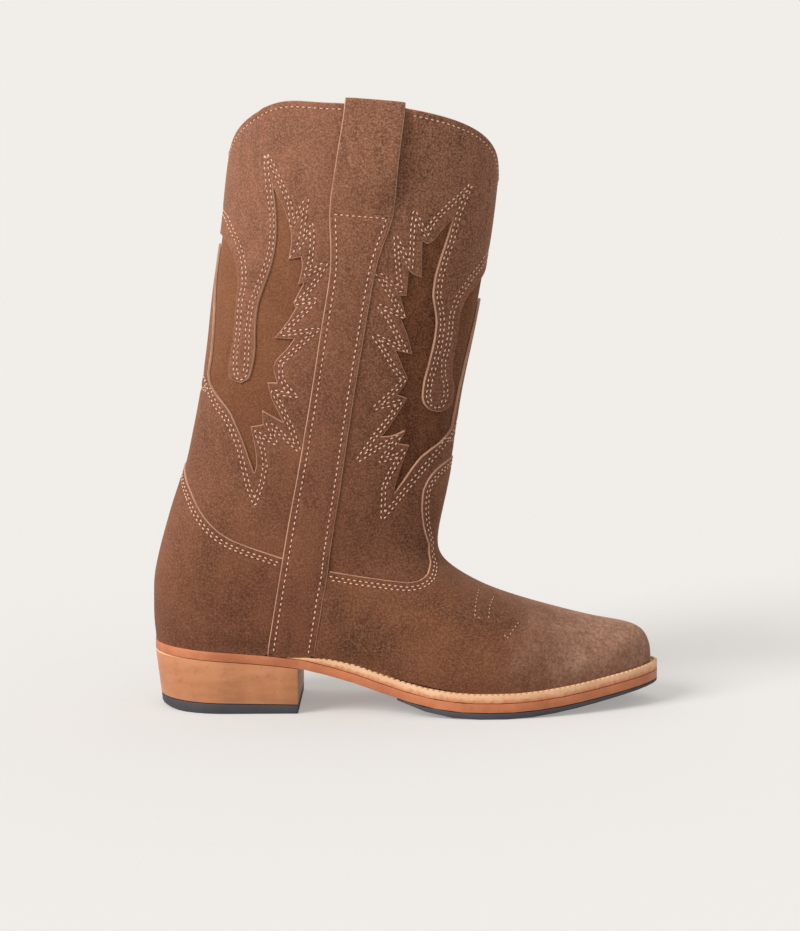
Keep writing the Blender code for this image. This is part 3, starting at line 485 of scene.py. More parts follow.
def outer_sheet(node, name, thick):
    """The outer face of a layer's solid as a fine sheet with rounded outlines and sharp corners."""
    piece = copy_of_node(node, name)
    bpy.ops.object.mode_set(mode="EDIT")
    select_where(piece, "VERT", lambda vert: wall_tree.find_nearest(vert.co)[3] < LAYER_GAP + thick / 2)
    bpy.ops.mesh.delete(type="VERT")
    bpy.ops.object.mode_set(mode="OBJECT")
    merge_points(piece, MERGE_SHEET)
    bpy.ops.object.mode_set(mode="EDIT")
    if select_where(piece, "VERT", lambda vert: at_back(vert, ARCH_TOP)) > 1:
        bpy.ops.mesh.merge(type="CENTER")
    bpy.ops.object.mode_set(mode="OBJECT")
    keep_corners(piece, CORNER_TURN)
    apply_modifier(piece, "SUBSURF", **SHEET_ROUNDING)
    hands_on(piece)
    bpy.ops.object.shade_smooth()
    return piece


SPREAD_PASSES = 15
CORNER_REACH = 4
MIDDLE_NEAR = 3 * MM
MIDDLE_PASSES = 80
# The vamp's edge beside the instep turns in one smooth curve: where it lies, mm
NOTCH = {"from": -10, "to": 40, "above": 60, "below": 130, "aside": 8}
NOTCH_PASSES = 45


def neighbours(edges):
    """The points that edges join to each point, all by number."""
    found = {}
    for edge in edges:
        for vert in edge.verts:
            found.setdefault(vert.index, []).append(edge.other_vert(vert).index)
    return found


def even_out(piece, outline_passes, below, middle_passes=0, notch_passes=0):
    """Smooth a sheet's outline between its corners and spread its inner points, below a height; round the
    outline where it crosses the boot's middle line and in the notch beside the instep."""
    points = points_of(piece)
    ends = np.array([edge.vertices[:] for edge in piece.data.edges])
    shape = shape_of(piece)
    beside_of = neighbours(edge for edge in shape.edges if edge.is_boundary)
    shape.free()

    def turn_at(index, reach):
        """How far the outline turns at a point, seen over a number of points to each side."""
        ways = []
        for onward in beside_of[index]:
            before, here = index, onward
            for _ in range(reach - 1):
                before, here = here, next(step for step in beside_of[here] if step != before)
            ways.append(Vector(points[here] - points[index]))
        return math.pi - ways[0].angle(ways[1])

    def in_notch(index):
        """Whether a point of the outline lies in the notch."""
        x, y, z = points[index] / MM
        beside_instep = NOTCH["from"] < x < NOTCH["to"] and abs(y) > NOTCH["aside"]
        return beside_instep and NOTCH["above"] < z < NOTCH["below"]

    notch = [(index, *sides) for index, sides in beside_of.items() if notch_passes and in_notch(index)]
    curved = {index for index, *_ in notch}
    free = [(index, *sides) for index, sides in beside_of.items()
            if points[index][2] < below and index not in curved
            and min(turn_at(index, 1), turn_at(index, CORNER_REACH)) < CORNER_TURN]
    middle = [(index, *sides) for index, sides in beside_of.items()
              if points[index][2] < COLLAR_ABOVE and abs(points[index][1]) < MIDDLE_NEAR]
    for group, passes in ((free, outline_passes), (middle, middle_passes), (notch, notch_passes)):
        here, one_side, other_side = np.array(group, int).reshape(-1, 3).T
        for _ in range(passes):
            points[here] += ((points[one_side] + points[other_side]) / 2 - points[here]) / 2
    inside = points[:, 2] < below
    inside[list(beside_of)] = False
    for _ in range(SPREAD_PASSES):
        total = np.zeros_like(points)
        count = np.zeros(len(points))
        for near, far in ((0, 1), (1, 0)):
            np.add.at(total, ends[:, near], points[ends[:, far]])
            np.add.at(count, ends[:, near], 1)
        points[inside] = total[inside] / count[inside][:, None]
    move_points(piece, points)


skin_tree = tree_of(upper)
# Past the skin's own edge its normal says little: how square to the skin a point has to stand
SQUARE_ON_SKIN = 0.5


def edge_directions(shape):
    """For each point on a sheet's edge, the way out along the sheet's surface and the way up from it."""
    ways = {}
    for vert in shape.verts:
        runs = [loop.link_loop_next.vert.co - loop.vert.co
                for edge in vert.link_edges if edge.is_boundary for loop in edge.link_loops]
        if len(runs) != 2:
            continue
        below, up, _, _ = skin_tree.find_nearest(vert.co)
        rise = up.dot((vert.co - below).normalized())
        if abs(rise) < SQUARE_ON_SKIN:
            up = vert.normal.copy()
        elif rise < 0:
            up = -up
        outs = [run.cross(up).normalized() for run in runs]
        out = (outs[0] + outs[1]).normalized()
        ways[vert.index] = (out / max(out.dot(outs[0]), MITRE_LIMIT), up)
    return ways


def round_edge(piece, thick, edge_wide, hidden):
    """Draw a sheet's edge out and down to the body in small steps, except at the points that are hidden
    under other pieces; these faces are the hide's raw core."""
    hands_on(piece)
    bpy.ops.object.mode_set(mode="EDIT")
    bpy.ops.mesh.select_mode(type="EDGE")
    shape = bmesh.from_edit_mesh(piece.data)
    shape.verts.index_update()
    ways = edge_directions(shape)
    for edge in shape.edges:
        edge.select_set(edge.is_boundary and all(
            vert.index in ways and vert.index not in hidden for vert in edge.verts))
    bmesh.update_edit_mesh(piece.data)
    for aside, down in EDGE_STEPS:
        bpy.ops.mesh.extrude_edges_indiv()
        shape = bmesh.from_edit_mesh(piece.data)
        shape.verts.index_update()
        for vert in [vert for vert in shape.verts if vert.select]:
            source = next(edge.other_vert(vert) for edge in vert.link_edges if not edge.select)
            out, up = ways[source.index]
            vert.co += out * aside * edge_wide - up * down * thick
            ways[vert.index] = (out, up)
        for face in shape.faces:
            if any(edge.select for edge in face.edges):
                face.material_index = 1
        bmesh.update_edit_mesh(piece.data)
    bpy.ops.object.mode_set(mode="OBJECT")


ANY_HEIGHT = 1.0
# Brown split suede, brushed one way: matt and mottled, paler to the back and darker to the front, partly by
# the nap's lie and partly by painted shade where the shaft turns away from the key light
brown_suede = suede("brown_suede", "#573422", "#794c36", "#a47f6b", "#5f3b28", -58, 12)
# The same suede drawn hard over the last: it is rubbed pale and greyish at the toe
toe_suede = suede("vamp_suede", "#4f2e1c", "#7a4d35", "#aa8771", "#b39485", 45, 110)
sheets = {}
for layer in LAYERS:
    sheet = outer_sheet(layer["node"], layer["name"], layer["thick"])
    even_out(sheet, layer["passes"], ANY_HEIGHT, MIDDLE_PASSES if "panel" in layer["node"] else 0,
             NOTCH_PASSES if layer["node"] == "vamp" else 0)
    set_collar(sheet)
    apply_modifier(
        sheet, "SHRINKWRAP", target=upper, wrap_method="NEAREST_SURFACEPOINT", wrap_mode="ABOVE_SURFACE",
        offset=LAYER_GAP + layer["thick"])
    sheets[layer["node"]] = sheet

# Side strips. A suede strip covers each side seam from the sole up; at the top it widens into a pull loop
# that stands a little off the shaft, goes over the rim and is sewn down inside.
STRIPS = {"side_strap_lateral": "outer_side_strip", "side_strap_medial": "inner_side_strip"}
STRIP_THICK = 2.3 * MM
STRIP_EDGE = 0.6 * MM
STRIP_STRAIGHT_BELOW = 150 * MM
STRIP_STRAIGHT_PASSES = 1200
STRIP_PASSES = 30
LOOP_FOOT = 279 * MM
LOOP_TOP = 336 * MM
LOOP_BLEND = 8 * MM
LOOP_BULGE = 6.5 * MM
# The loop's back edge lies closer to the shaft: where it is, how it leans, the loop's width, and the share
# of the bulge there
LOOP_BACK = -41.9 * MM
LOOP_LEAN = 0.114
LOOP_WIDE = 31 * MM
LOOP_BACK_SHARE = 0.15
for node, name in STRIPS.items():
    strip = outer_sheet(node, name, STRIP_THICK)
    even_out(strip, STRIP_PASSES, LOOP_FOOT)
    even_out(strip, STRIP_STRAIGHT_PASSES, STRIP_STRAIGHT_BELOW)
    flat = strip.vertex_groups.new(name="lies_flat")
    for vert in strip.data.vertices:
        share = min(max((LOOP_FOOT + LOOP_BLEND - vert.co.z) / LOOP_BLEND, 0.0), 1.0)
        inside = wall_tree.find_nearest(vert.co)[1].y * vert.co.y < 0
        flat.add([vert.index], 0.0 if inside else share, "REPLACE")
        loop_share = min(max((vert.co.z - LOOP_FOOT) / (LOOP_TOP - LOOP_FOOT), 0.0), 1.0)
        if not inside:
            across = (vert.co.x - LOOP_BACK - LOOP_LEAN * (vert.co.z - LOOP_FOOT)) / LOOP_WIDE
            stand = LOOP_BACK_SHARE + (1 - LOOP_BACK_SHARE) * min(max(across, 0.0), 1.0)
            vert.co.y += math.copysign(LOOP_BULGE * stand * math.sin(math.pi * loop_share), vert.co.y)
    apply_modifier(
        strip, "SHRINKWRAP", target=upper, wrap_method="NEAREST_SURFACEPOINT", wrap_mode="ABOVE_SURFACE",
        offset=LAYER_GAP + STRIP_THICK, vertex_group="lies_flat")
    sheets[node] = strip

# How far a layer's edge is drawn on under a strip and pressed down, how near the strip's edge this starts,
# and the share of the way past which a point is hidden
TUCK = 3.2 * MM
TUCK_DOWN = 1.2 * MM
TUCK_NEAR = 2.6 * MM
TUCK_HIDES = 0.4


def near_tree(points):
    """Search tree over points."""
    found = KDTree(len(points))
    for index, point in enumerate(points):
        found.insert(point, index)
    found.balance()
    return found


def edge_points(piece):
    """The points on a sheet's edge."""
    shape = shape_of(piece)
    points = [vert.co.copy() for vert in shape.verts if vert.is_boundary]
    shape.free()
    return points


# The layers' side edges run on under the strips
NEAR_FEATHER = 6 * MM
skin_edge = edge_points(upper)
feather = near_tree([point for point in skin_edge if point.z < FEATHER_BELOW])
strip_places = []
strip_ways = []
for node in STRIPS:
    shape = shape_of(sheets[node])
    for index, (out, up) in edge_directions(shape).items():
        strip_places.append(sheets[node].data.vertices[index].co.copy())
        strip_ways.append((out.normalized(), up))
    shape.free()
strip_edges = near_tree(strip_places)
tucked = {node: set() for node in sheets}
for layer in LAYERS:
    for vert in sheets[layer["node"]].data.vertices:
        _, number, apart = strip_edges.find(vert.co)
        share = 1.0 - apart / TUCK_NEAR
        if share > 0.0:
            out, up = strip_ways[number]
            footed = feather.find(vert.co)[2] < NEAR_FEATHER
            vert.co -= out * share * TUCK + up * (0.0 if footed else share ** 2 * TUCK_DOWN)
        if share > TUCK_HIDES:
            tucked[layer["node"]].add(vert.index)

# Stitching. Thick pale waxed thread sews every layer down: a double row round each flame window and along
# the edges of vamp and counter, a single row along the side strips and below the collar, and one across each
# loop. The thread sinks a little into the suede, and between two stitches it goes through a needle hole.
PITCH = 3.3 * MM
# Length, width and height
STITCH_SIZE = (1.75 * MM, 0.75 * MM, 0.7 * MM)
HOLE_SIZE = (0.75 * MM, 0.75 * MM, 0.2 * MM)
# The middle of a stitch or hole stands above the pressed suede by this share of its height
STANDS_UP = 0.2
PRESS_DEEP = 0.35 * MM
PRESS_WIDE = 2.0 * MM

# The photo's camera, in front of the outer side: stitches are laid where its view shows them. Units across
# and down the view are those of a frame 800 wide and 931 high.
FRAME_WIDE = 800.0
FRAME_HIGH = 931.0
FOCAL_UNITS = 1930.0
CAMERA_PLACE = Vector((-4.3, -1100.0, 237.0)) * MM
CAMERA_DIP = math.radians(5.2)
CAMERA_TURN = Euler((math.pi / 2 - CAMERA_DIP, 0.0, 0.0)).to_matrix()
VIEW_STEP = 0.5
ROW_APART = 3.6

# Middle lines of the double rows, across and down the view, from the top of each flame
FRONT_FLAME = [
    (471, 185), (460, 196.5), (451, 204), (442, 213), (435, 220), (429.6, 228), (426.5, 235), (415, 213),
    (413, 226), (412, 252), (411, 268), (396, 237), (397, 255), (399, 278), (401, 290), (377, 273),
    (391, 295.5), (403, 316), (379, 306), (388, 318), (400, 340.6), (405.6, 350), (374, 335.5), (383, 349),
    (396, 371), (404, 380), (393, 392), (375, 408), (400, 402), (390, 418), (374.5, 436.5), (358.5, 460),
    (380.6, 446), (399, 437), (381.6, 460.6), (398, 455.5), (404, 451), (392, 470), (384, 487),
    (383, 517.5), (401, 496), (421, 472), (442, 447), (453, 431),
]
BACK_FLAME = [
    (266, 155), (271, 163), (281, 184), (290, 205), (291.7, 224.5), (307, 199), (305, 211), (302, 235),
    (296, 254), (291, 259), (312, 226.5), (312.5, 240), (310.6, 260), (306.5, 274.5), (326, 263), (315, 283),
    (305, 295), (296, 303), (315, 300), (308, 309), (287, 329), (282.6, 334), (317, 330), (297, 348),
    (280.5, 363.5), (281, 377), (286, 387), (295, 396), (273.4, 392), (280.5, 405), (291, 427), (298.7, 450),
    (280, 433), (268, 423), (275.5, 443), (256.4, 433), (263, 450), (265, 466), (262, 483), (254.6, 503),
    (248, 486), (238, 445), (231.5, 430), (225, 417.6), (216, 406), (210, 394), (207, 380),
]
FRONT_TONGUE = [
    (471, 185), (459, 214), (453, 239), (446, 259), (441, 278), (439, 296), (442, 311), (443, 325),
    (440.7, 343), (435.6, 363), (430.5, 381), (428.4, 396), (430.5, 403), (437, 406.5), (443, 404),
    (446, 395), (446, 385), (443.5, 374), (444, 361), (447, 351), (450, 335), (451, 327), (452, 315),
    (455, 305), (459, 295.5), (465, 287), (472, 277), (480, 267), (486, 258),
]
BACK_TONGUE = [
    (266, 155), (266, 165), (268, 186), (270, 201), (272, 216), (272, 232), (271, 247), (268, 259),
    (262, 275.5), (256, 291), (251, 303), (247.5, 330), (246.5, 355), (246, 367), (244, 375), (240.5, 378),
    (237, 376.5), (235, 371), (235, 355), (238, 330), (240, 303), (242, 293), (244, 283), (244, 272),
    (243, 261), (240, 250), (236, 239), (230.5, 228), (226, 217),
]
LOOP_ROW = [(334, 214.5), (385, 218.6)]
# Faint rows in thread of the suede's colour on top of the toe
TOE_ROWS = [
    [(479, 589), (476, 603), (475, 616), (481, 618)],
    [(494, 596), (490, 606), (489, 617), (493, 619)],
    [(519, 622), (513, 630), (507, 639), (503, 632)],
]


def seen_at(across, down, tree):
    """The place on a sheet that the camera sees at a point of its view, or nothing."""
    aim = Vector((across - FRAME_WIDE / 2, FRAME_HIGH / 2 - down, -FOCAL_UNITS))
    return tree.ray_cast(CAMERA_PLACE, CAMERA_TURN @ aim.normalized())[0]


TIP_REACH = 1.3
SHARPEST = 1e-6


def beside(line, aside):
    """A line drawn parallel to another one in the view, rounded at its outer corners."""
    points = np.array(line, float)
    steps = np.diff(points, axis=0)
    lefts = np.stack([steps[:, 1], -steps[:, 0]], 1) / np.linalg.norm(steps, axis=1)[:, None]
    drawn = [points[0] + lefts[0] * aside]
    for point, before, after in zip(points[1:-1], lefts[:-1], lefts[1:]):
        middle = (before + after) / max(np.linalg.norm(before + after), SHARPEST)
        drawn += [point + before * aside, point + middle * aside * TIP_REACH, point + after * aside]
    drawn.append(points[-1] + lefts[-1] * aside)
    return np.array(drawn)


def walked(points, step):
    """Points at even steps along a line."""
    lengths = np.concatenate([[0.0], np.cumsum(np.linalg.norm(np.diff(points, axis=0), axis=1))])
    count = max(int(round(lengths[-1] / step)), 1)
    stations = (np.arange(count) + 0.5) * lengths[-1] / count
    return np.stack([np.interp(stations, lengths, points[:, axis]) for axis in range(points.shape[1])], 1)


def runs_through(follows):
    """The runs of points from end to end, out of the neighbours of each point."""
    runs = []
    left = set(follows)
    while left:
        run = [min(left, key=lambda index: len(follows[index]))]
        left.discard(run[0])
        onward = [index for index in follows[run[-1]] if index in left]
        while onward:
            run.append(onward[0])
            left.discard(onward[0])
            onward = [index for index in follows[run[-1]] if index in left]
        runs.append(run)
    return runs


# Shorter runs of a sheet's edge or of a row are left unsewn: the fewest points in each
EDGE_LEAST = 7
ROW_LEAST = 5
STITCHES_LEAST = 4


def edge_lines(piece, keep):
    """The runs of a sheet's edge that pass a test, as lines of (place, way in) from end to end."""
    shape = shape_of(piece)
    shape.verts.ensure_lookup_table()
    ways = edge_directions(shape)
    kept = {index for index, (out, up) in ways.items() if keep(index, shape.verts[index].co, out)}
    follows = {index: [] for index in kept}
    follows.update(neighbours(edge for edge in shape.edges if edge.is_boundary and all(
        vert.index in kept for vert in edge.verts)))
    lines = [[(shape.verts[index].co.copy(), -ways[index][0].normalized()) for index in run]
             for run in runs_through(follows) if len(run) >= EDGE_LEAST]
    shape.free()
    return lines


rim = near_tree([point for point in skin_edge if point.z > COLLAR_ABOVE])
sheet_trees = {node: tree_of(sheet) for node, sheet in sheets.items()}
rows = []
PALE_THREAD = 0
SUEDE_THREAD = 1
# A row keeps at least this share of its distance from every part of the line that it follows
ROW_CLEAR = 0.9
# How near the boot's middle two rows are joined, how far their arch rises, and the points along it
JOIN_NEAR = 25 * MM
JOIN_RISE = 3 * MM
JOIN_POINTS = 30
VIEW_UNIT = 0.57 * MM


def off_line(line, across, down):
    """How far a point of the view lies from a line drawn in it."""
    starts = np.array(line[:-1], float)
    steps = np.array(line[1:], float) - starts
    gaps = np.array([across, down]) - starts
    share = np.clip((gaps * steps).sum(1) / (steps * steps).sum(1), 0.0, 1.0)
    return np.linalg.norm(gaps - steps * share[:, None], axis=1).min()


def unbroken(places):
    """The stretches of a line of places between its gaps, where there is no place."""
    runs = [[]]
    for place in places:
        if place is None:
            runs.append([])
        else:
            runs[-1].append(place)
    return runs


def sew_seen(node, line, aside, thread=PALE_THREAD):
    """Rows on both sides of the boot, on the sheet of a node, beside a line in the camera's view; a line
    that ends near the boot's middle is joined over it in a low arch."""
    tree = sheet_trees[node]
    runs = unbroken(
        None if off_line(line, *spot) < ROW_CLEAR * abs(aside) else seen_at(*spot, tree)
        for spot in walked(beside(line, aside), VIEW_STEP))
    for run in runs:
        if len(run) >= ROW_LEAST:
            rows.append((node, np.array(run), thread))
            rows.append((node, np.array(run) * (1, -1, 1), thread))
    end = np.array(runs[-1][-1])
    if abs(end[1]) < JOIN_NEAR:
        middle = next(place for place in (seen_at(*spot, tree) for spot in reversed(line)) if place)
        top = middle.z + JOIN_RISE + math.copysign(aside * VIEW_UNIT, aside * (line[-1][0] - line[-2][0]))
        peak = np.array([end[0], 0.0, 2 * top - end[2]])
        share = np.linspace(0.0, 1.0, JOIN_POINTS)[:, None]
        arch = (1 - share) ** 2 * end + 2 * share * (1 - share) * peak + share ** 2 * end * (1, -1, 1)
        rows.append((node, arch, thread))


def sew_edge(node, inside, keep, clear=ROW_CLEAR):
    """Rows on the sheet of a node, at a distance inside the runs of its edge that pass a test."""
    edges = near_tree(edge_points(sheets[node]))
    for line in edge_lines(sheets[node], keep):
        places = [place + way_in * inside for place, way_in in line]
        runs = unbroken(None if edges.find(place)[2] < clear * inside else place for place in places)
        rows.extend((node, np.array(run), PALE_THREAD) for run in runs if len(run) >= ROW_LEAST)


for aside in (-ROW_APART / 2, ROW_APART / 2):
    sew_seen("front_panel", FRONT_FLAME, aside)
    sew_seen("front_panel", FRONT_TONGUE, aside)
    sew_seen("back_panel", BACK_FLAME, aside)
    sew_seen("back_panel", BACK_TONGUE, aside)
sew_seen("side_strap_lateral", LOOP_ROW, 0.0)
for line in TOE_ROWS:
    sew_seen("vamp", line, 0.0, SUEDE_THREAD)
EDGE_ROWS = (2.4 * MM, 4.3 * MM)
COLLAR_ROW = 3.0 * MM
STRIP_ROW = 2.9 * MM
STRIP_CLEAR = 0.2
STRIP_OUTSIDE = 25 * MM
FOOT_FACES_DOWN = -0.5
for node in ("vamp", "counter"):
    for inside in EDGE_ROWS:
        sew_edge(node, inside, lambda index, place, out: (
            feather.find(place)[2] > NEAR_FEATHER and index not in tucked[node]))
for node in ("front_panel", "back_panel"):
    sew_edge(node, COLLAR_ROW, lambda index, place, out: (
        rim.find(place)[2] < NEAR_FEATHER and index not in tucked[node]))
for node in STRIPS:
    sew_edge(node, STRIP_ROW, lambda index, place, out: (
        out.z > FOOT_FACES_DOWN and place.z < LOOP_FOOT - STRIP_ROW
        and abs(place.y) > STRIP_OUTSIDE), clear=STRIP_CLEAR)


def begin(name, add_primitive, **settings):
    """Start a new piece from a primitive."""
    bpy.ops.object.select_all(action="DESELECT")
    add_primitive(**settings)
    bpy.context.object.name = name
    return bpy.context.object


def repeat_mesh(piece, spots):
    """Repeat a small mesh at many spots, each a size along, across and up, a turn and a place."""
    single = points_of(piece)
    faces = [tuple(face.vertices) for face in piece.data.polygons]
    points = np.concatenate([(single * size) @ turn + place for size, turn, place in spots])
    piece.data.clear_geometry()
    piece.data.from_pydata(points.tolist(), [], [
        tuple(index + first for index in face)
        for first in range(0, len(points), len(single)) for face in faces])
    hands_on(piece)
    bpy.ops.object.shade_smooth()
    return len(faces)


# One stitch is a small bead laid along its row, one needle hole a flat dimple
stitching = begin("stitching", bpy.ops.mesh.primitive_uv_sphere_add, segments=6, ring_count=5, radius=0.5)
bpy.ops.object.mode_set(mode="EDIT")
bpy.ops.transform.rotate(value=math.pi / 2, orient_axis="Y", center_override=(0.0, 0.0, 0.0))
bpy.ops.object.mode_set(mode="OBJECT")
needle_holes = begin("needle_holes", bpy.ops.mesh.primitive_ico_sphere_add, subdivisions=1, radius=0.5)
stitch_spots = []
hole_spots = []
stitch_threads = []
centres = []
for node, line, thread in rows:
    tree = sheet_trees["side_strap_medial" if node == "side_strap_lateral" and line[0][1] > 0 else node]
    stations = walked(line, PITCH / 2)
    if len(stations) < STITCHES_LEAST:
        continue
    for number, (station, way) in enumerate(zip(stations, np.gradient(stations, axis=0))):
        place, up, _, _ = tree.find_nearest(Vector(station))
        side = up.cross(Vector(way)).normalized()
        turn = np.array([side.cross(up), side, up])
        size = STITCH_SIZE if number % 2 == 0 else HOLE_SIZE
        spot = (size, turn, np.array(place - up * (PRESS_DEEP - size[2] * STANDS_UP)))
        centres.append(place)
        if number % 2 == 0:
            stitch_spots.append(spot)
            stitch_threads.append(thread)
        else:
            hole_spots.append(spot)
faces_each = repeat_mesh(stitching, stitch_spots)
repeat_mesh(needle_holes, hole_spots)
# Waxed polyester thread: pale, smooth, hardly glossy; on the toe a thread dyed to the suede, dull and faint
stitching.data.materials.append(grained("waxed_thread", "#bb927c", "#d8b4a0", 0.5, 0.7))
stitching.data.materials.append(grained("suede_thread", "#8f6a56", "#a98370", 0.5, 0.8))
thread_of_faces = np.repeat(np.array(stitch_threads, np.int32), faces_each)
stitching.data.polygons.foreach_set("material_index", thread_of_faces)
# Painted shade: each needle hole is a dark flat dimple, its colour standing for the shade inside the hole
needle_holes.data.materials.append(grained("needle_hole", "#3a2113", "#472a1a", 0.5, 0.95))
for piece in (stitching, needle_holes):
    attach(piece, "root")

# The thread pulls the suede in along its rows; then every sheet gets its cut edge and stands for its solid
pulled = near_tree(centres)
# Lower edges go down this far behind welt and sole
FOOT_DROP = 2.4 * MM
EDGE_OF = {layer["node"]: layer["edge"] for layer in LAYERS}
THICK_OF = {layer["node"]: layer["thick"] for layer in LAYERS}
for node, sheet in sheets.items():
    points = points_of(sheet)
    apart = np.array([pulled.find(point)[2] for point in points])
    press = PRESS_DEEP * np.exp(-((apart / PRESS_WIDE) ** 2))
    move_points(sheet, points - points_of(sheet, "normal") * press[:, None])
    sheet.data.materials.append(toe_suede if node == "vamp" else brown_suede)
    sheet.data.materials.append(raw_edge)
    shape = shape_of(sheet)
    footing = {index for index, (out, up) in edge_directions(shape).items()
               if (out.z < FOOT_FACES_DOWN or index in tucked[node])
               and feather.find(sheet.data.vertices[index].co)[2] < NEAR_FEATHER}
    buried = {vert.index for vert in shape.verts if vert.index in footing and all(
        edge.other_vert(vert).index in footing for edge in vert.link_edges if edge.is_boundary)}
    shape.free()
    for index in footing:
        sheet.data.vertices[index].co.z -= FOOT_DROP
    round_edge(sheet, THICK_OF.get(node, STRIP_THICK), EDGE_OF.get(node, STRIP_EDGE), tucked[node] | buried)
    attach(sheet, "root")
    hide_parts(node)

# The body gets its wall's thickness last, because the layers are fitted to its outer face alone
for material in (under_suede, lining, raw_edge):
    upper.data.materials.append(material)
apply_modifier(upper, "SOLIDIFY", thickness=WALL, offset=-1.0, material_offset=1, material_offset_rim=2)
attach(upper, "root")
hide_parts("upper")

# Insole. A board of natural leather, cut to the shape of the foot and laid on the floor of the boot, where
# it holds the upper's lower edge; it is seen only from above through the collar.
INSOLE_BEVEL = 0.5 * MM
# Edges sharper than the first angle are softened, and sides that turn by less than the second look smooth
EDGES_FROM = math.radians(35)
SMOOTH_UP_TO = math.radians(40)
# Vegetable-tanned leather, undyed: light tan, dry and finely grained
insole_leather = grained("insole_leather", "#b08a62", "#c9a57c", 1.0, 0.65)


def sole_piece(node, name, material, bevel):
    """A solid's copy with softened edges and smooth sides."""
    piece = copy_of_node(node, name)
    apply_modifier(piece, "BEVEL", width=bevel, segments=2, limit_method="ANGLE", angle_limit=EDGES_FROM)
    hands_on(piece)
    bpy.ops.object.shade_smooth_by_angle(angle=SMOOTH_UP_TO)
    piece.data.materials.append(material)
    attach(piece, "root")
    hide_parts(node)
    return piece


sole_piece("insole", "leather_insole", insole_leather, INSOLE_BEVEL)

# Welt. A strip of natural leather round the forefoot, sewn to upper and sole; a toothed wheel has pressed a
# row of small ridges into its top near the edge.
WELT_BEVEL = 0.2 * MM
WELT_STAIN_HIGH = 2.2 * MM
SEEP_MM = 2.5
# Undyed vegetable-tanned leather: warm pale tan, dry, with the sole's stain seeping into its lower edge
welt_leather = grained("natural_welt_leather", "#ba8d67", "#cca480", 0.9, 0.6)
welt = sole_piece("welt", "welt_strip", welt_leather, WELT_BEVEL)
outsole_tree = tree_of(frame["nodes"]["outsole"])
stain = welt.data.attributes.new("stain", "FLOAT", "POINT")
stain.data.foreach_set("value", [
    1.0 - min(outsole_tree.find_nearest(vert.co)[3] / WELT_STAIN_HIGH, 1.0) for vert in welt.data.vertices])
tree = welt_leather.node_tree
shader = tree.nodes["Principled BSDF"]
plain = shader.inputs["Base Color"].links[0].from_socket
low = add_node(tree, "ShaderNodeAttribute", attribute_name="stain")
place = add_node(tree, "ShaderNodeTexCoord").outputs["Object"]
seep = add_node(tree, "ShaderNodeTexNoise", {"Vector": place, "Scale": per_size(SEEP_MM), "Detail": 4.0})
seeping = add_node(tree, "ShaderNodeMath", {0: low.outputs["Fac"], 1: seep.outputs["Fac"]}, operation="ADD")
stain_share = add_node(tree, "ShaderNodeMapRange", {
    "Value": seeping.outputs["Value"], "From Min": 0.75, "From Max": 1.3})
stained = add_node(tree, "ShaderNodeMix", {
    0: stain_share.outputs["Result"], MIX_A: plain, MIX_B: linear("#b06a42")}, data_type="RGBA")
tree.links.new(stained.outputs[MIX_OUT], shader.inputs["Base Color"])
RIDGE_PITCH = 3.3 * MM
RIDGE_SIZE = (3.2 * MM, 2.4 * MM, 1.1 * MM)
RIDGE_INSIDE = 1.5 * MM
# What faces away from this point, inside the forefoot, faces out
WELT_MIDDLE = Vector((40 * MM, 0.0, 0.0))
UP = Vector((0.0, 0.0, 1.0))
# Faces of the strip whose normals rise by more than the first are its top, by less than the second its sides
TOP_FACES = 0.7
SIDE_FACES = 0.5


def outer_top_edge(node):
    """The outer upper edge of a strip's solid, as points from one end round to the other."""
    shape = shape_of(frame["nodes"][node])
    bmesh.ops.remove_doubles(shape, verts=shape.verts, dist=MERGE)
    shape.verts.index_update()
    outer = []
    for edge in shape.edges:
        if len(edge.link_faces) != 2:
            continue
        top, side = sorted(edge.link_faces, key=lambda face: -face.normal.z)
        middle = (edge.verts[0].co + edge.verts[1].co) / 2 - WELT_MIDDLE
        if top.normal.z > TOP_FACES and abs(side.normal.z) < SIDE_FACES and side.normal.dot(middle) > 0:
            outer.append(edge)
    shape.verts.ensure_lookup_table()
    points = np.array([shape.verts[index].co for index in runs_through(neighbours(outer))[0]])
    shape.free()
    return points


stations = walked(outer_top_edge("welt"), RIDGE_PITCH)
ridge_spots = []
for station, way in zip(stations, np.gradient(stations, axis=0)):
    along = Vector(way).normalized()
    side = UP.cross(along).normalized()
    side = -side if side.dot(Vector(station) - WELT_MIDDLE) > 0 else side
    turn = np.array([along, side, along.cross(side) * (1 if along.cross(side).z > 0 else -1)])
    ridge_spots.append((RIDGE_SIZE, turn, station + np.array(side) * RIDGE_INSIDE))
ridges = begin(
    "welt_wheel_ridges", bpy.ops.mesh.primitive_uv_sphere_add, segments=8, ring_count=6, radius=0.5)
repeat_mesh(ridges, ridge_spots)
ridges.data.materials.append(welt_leather)
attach(ridges, "root")

# Outsole. Firm leather, full length, sewn to the welt and bent down over the arch; its edge is trimmed
# square, stained orange-brown and rubbed with wax.
SOLE_BEVEL = 0.25 * MM
# Waxed sole leather: warm and clouded, with a soft shine
sole_leather = grained("waxed_sole_edge", "#8f4f30", "#b06a44", 0.8, 0.45)
sole_piece("outsole", "leather_outsole", sole_leather, SOLE_BEVEL)

# Forefoot sole and heel lift. Thin black rubber, cut from sheet and glued under the forefoot and under the
# heel for grip; both are trimmed flush with the leather above.
FOREFOOT_BEVEL = 0.6 * MM
LIFT_BEVEL = 0.7 * MM
# Cut sheet rubber: near black, matt and a little rough
rubber = grained("matt_black_rubber", "#2e2d30", "#3b3a3e", 1.4, 0.7)
sole_piece("forefoot_sole", "rubber_forefoot", rubber, FOREFOOT_BEVEL)
sole_piece("heel_lift", "rubber_heel_lift", rubber, LIFT_BEVEL)

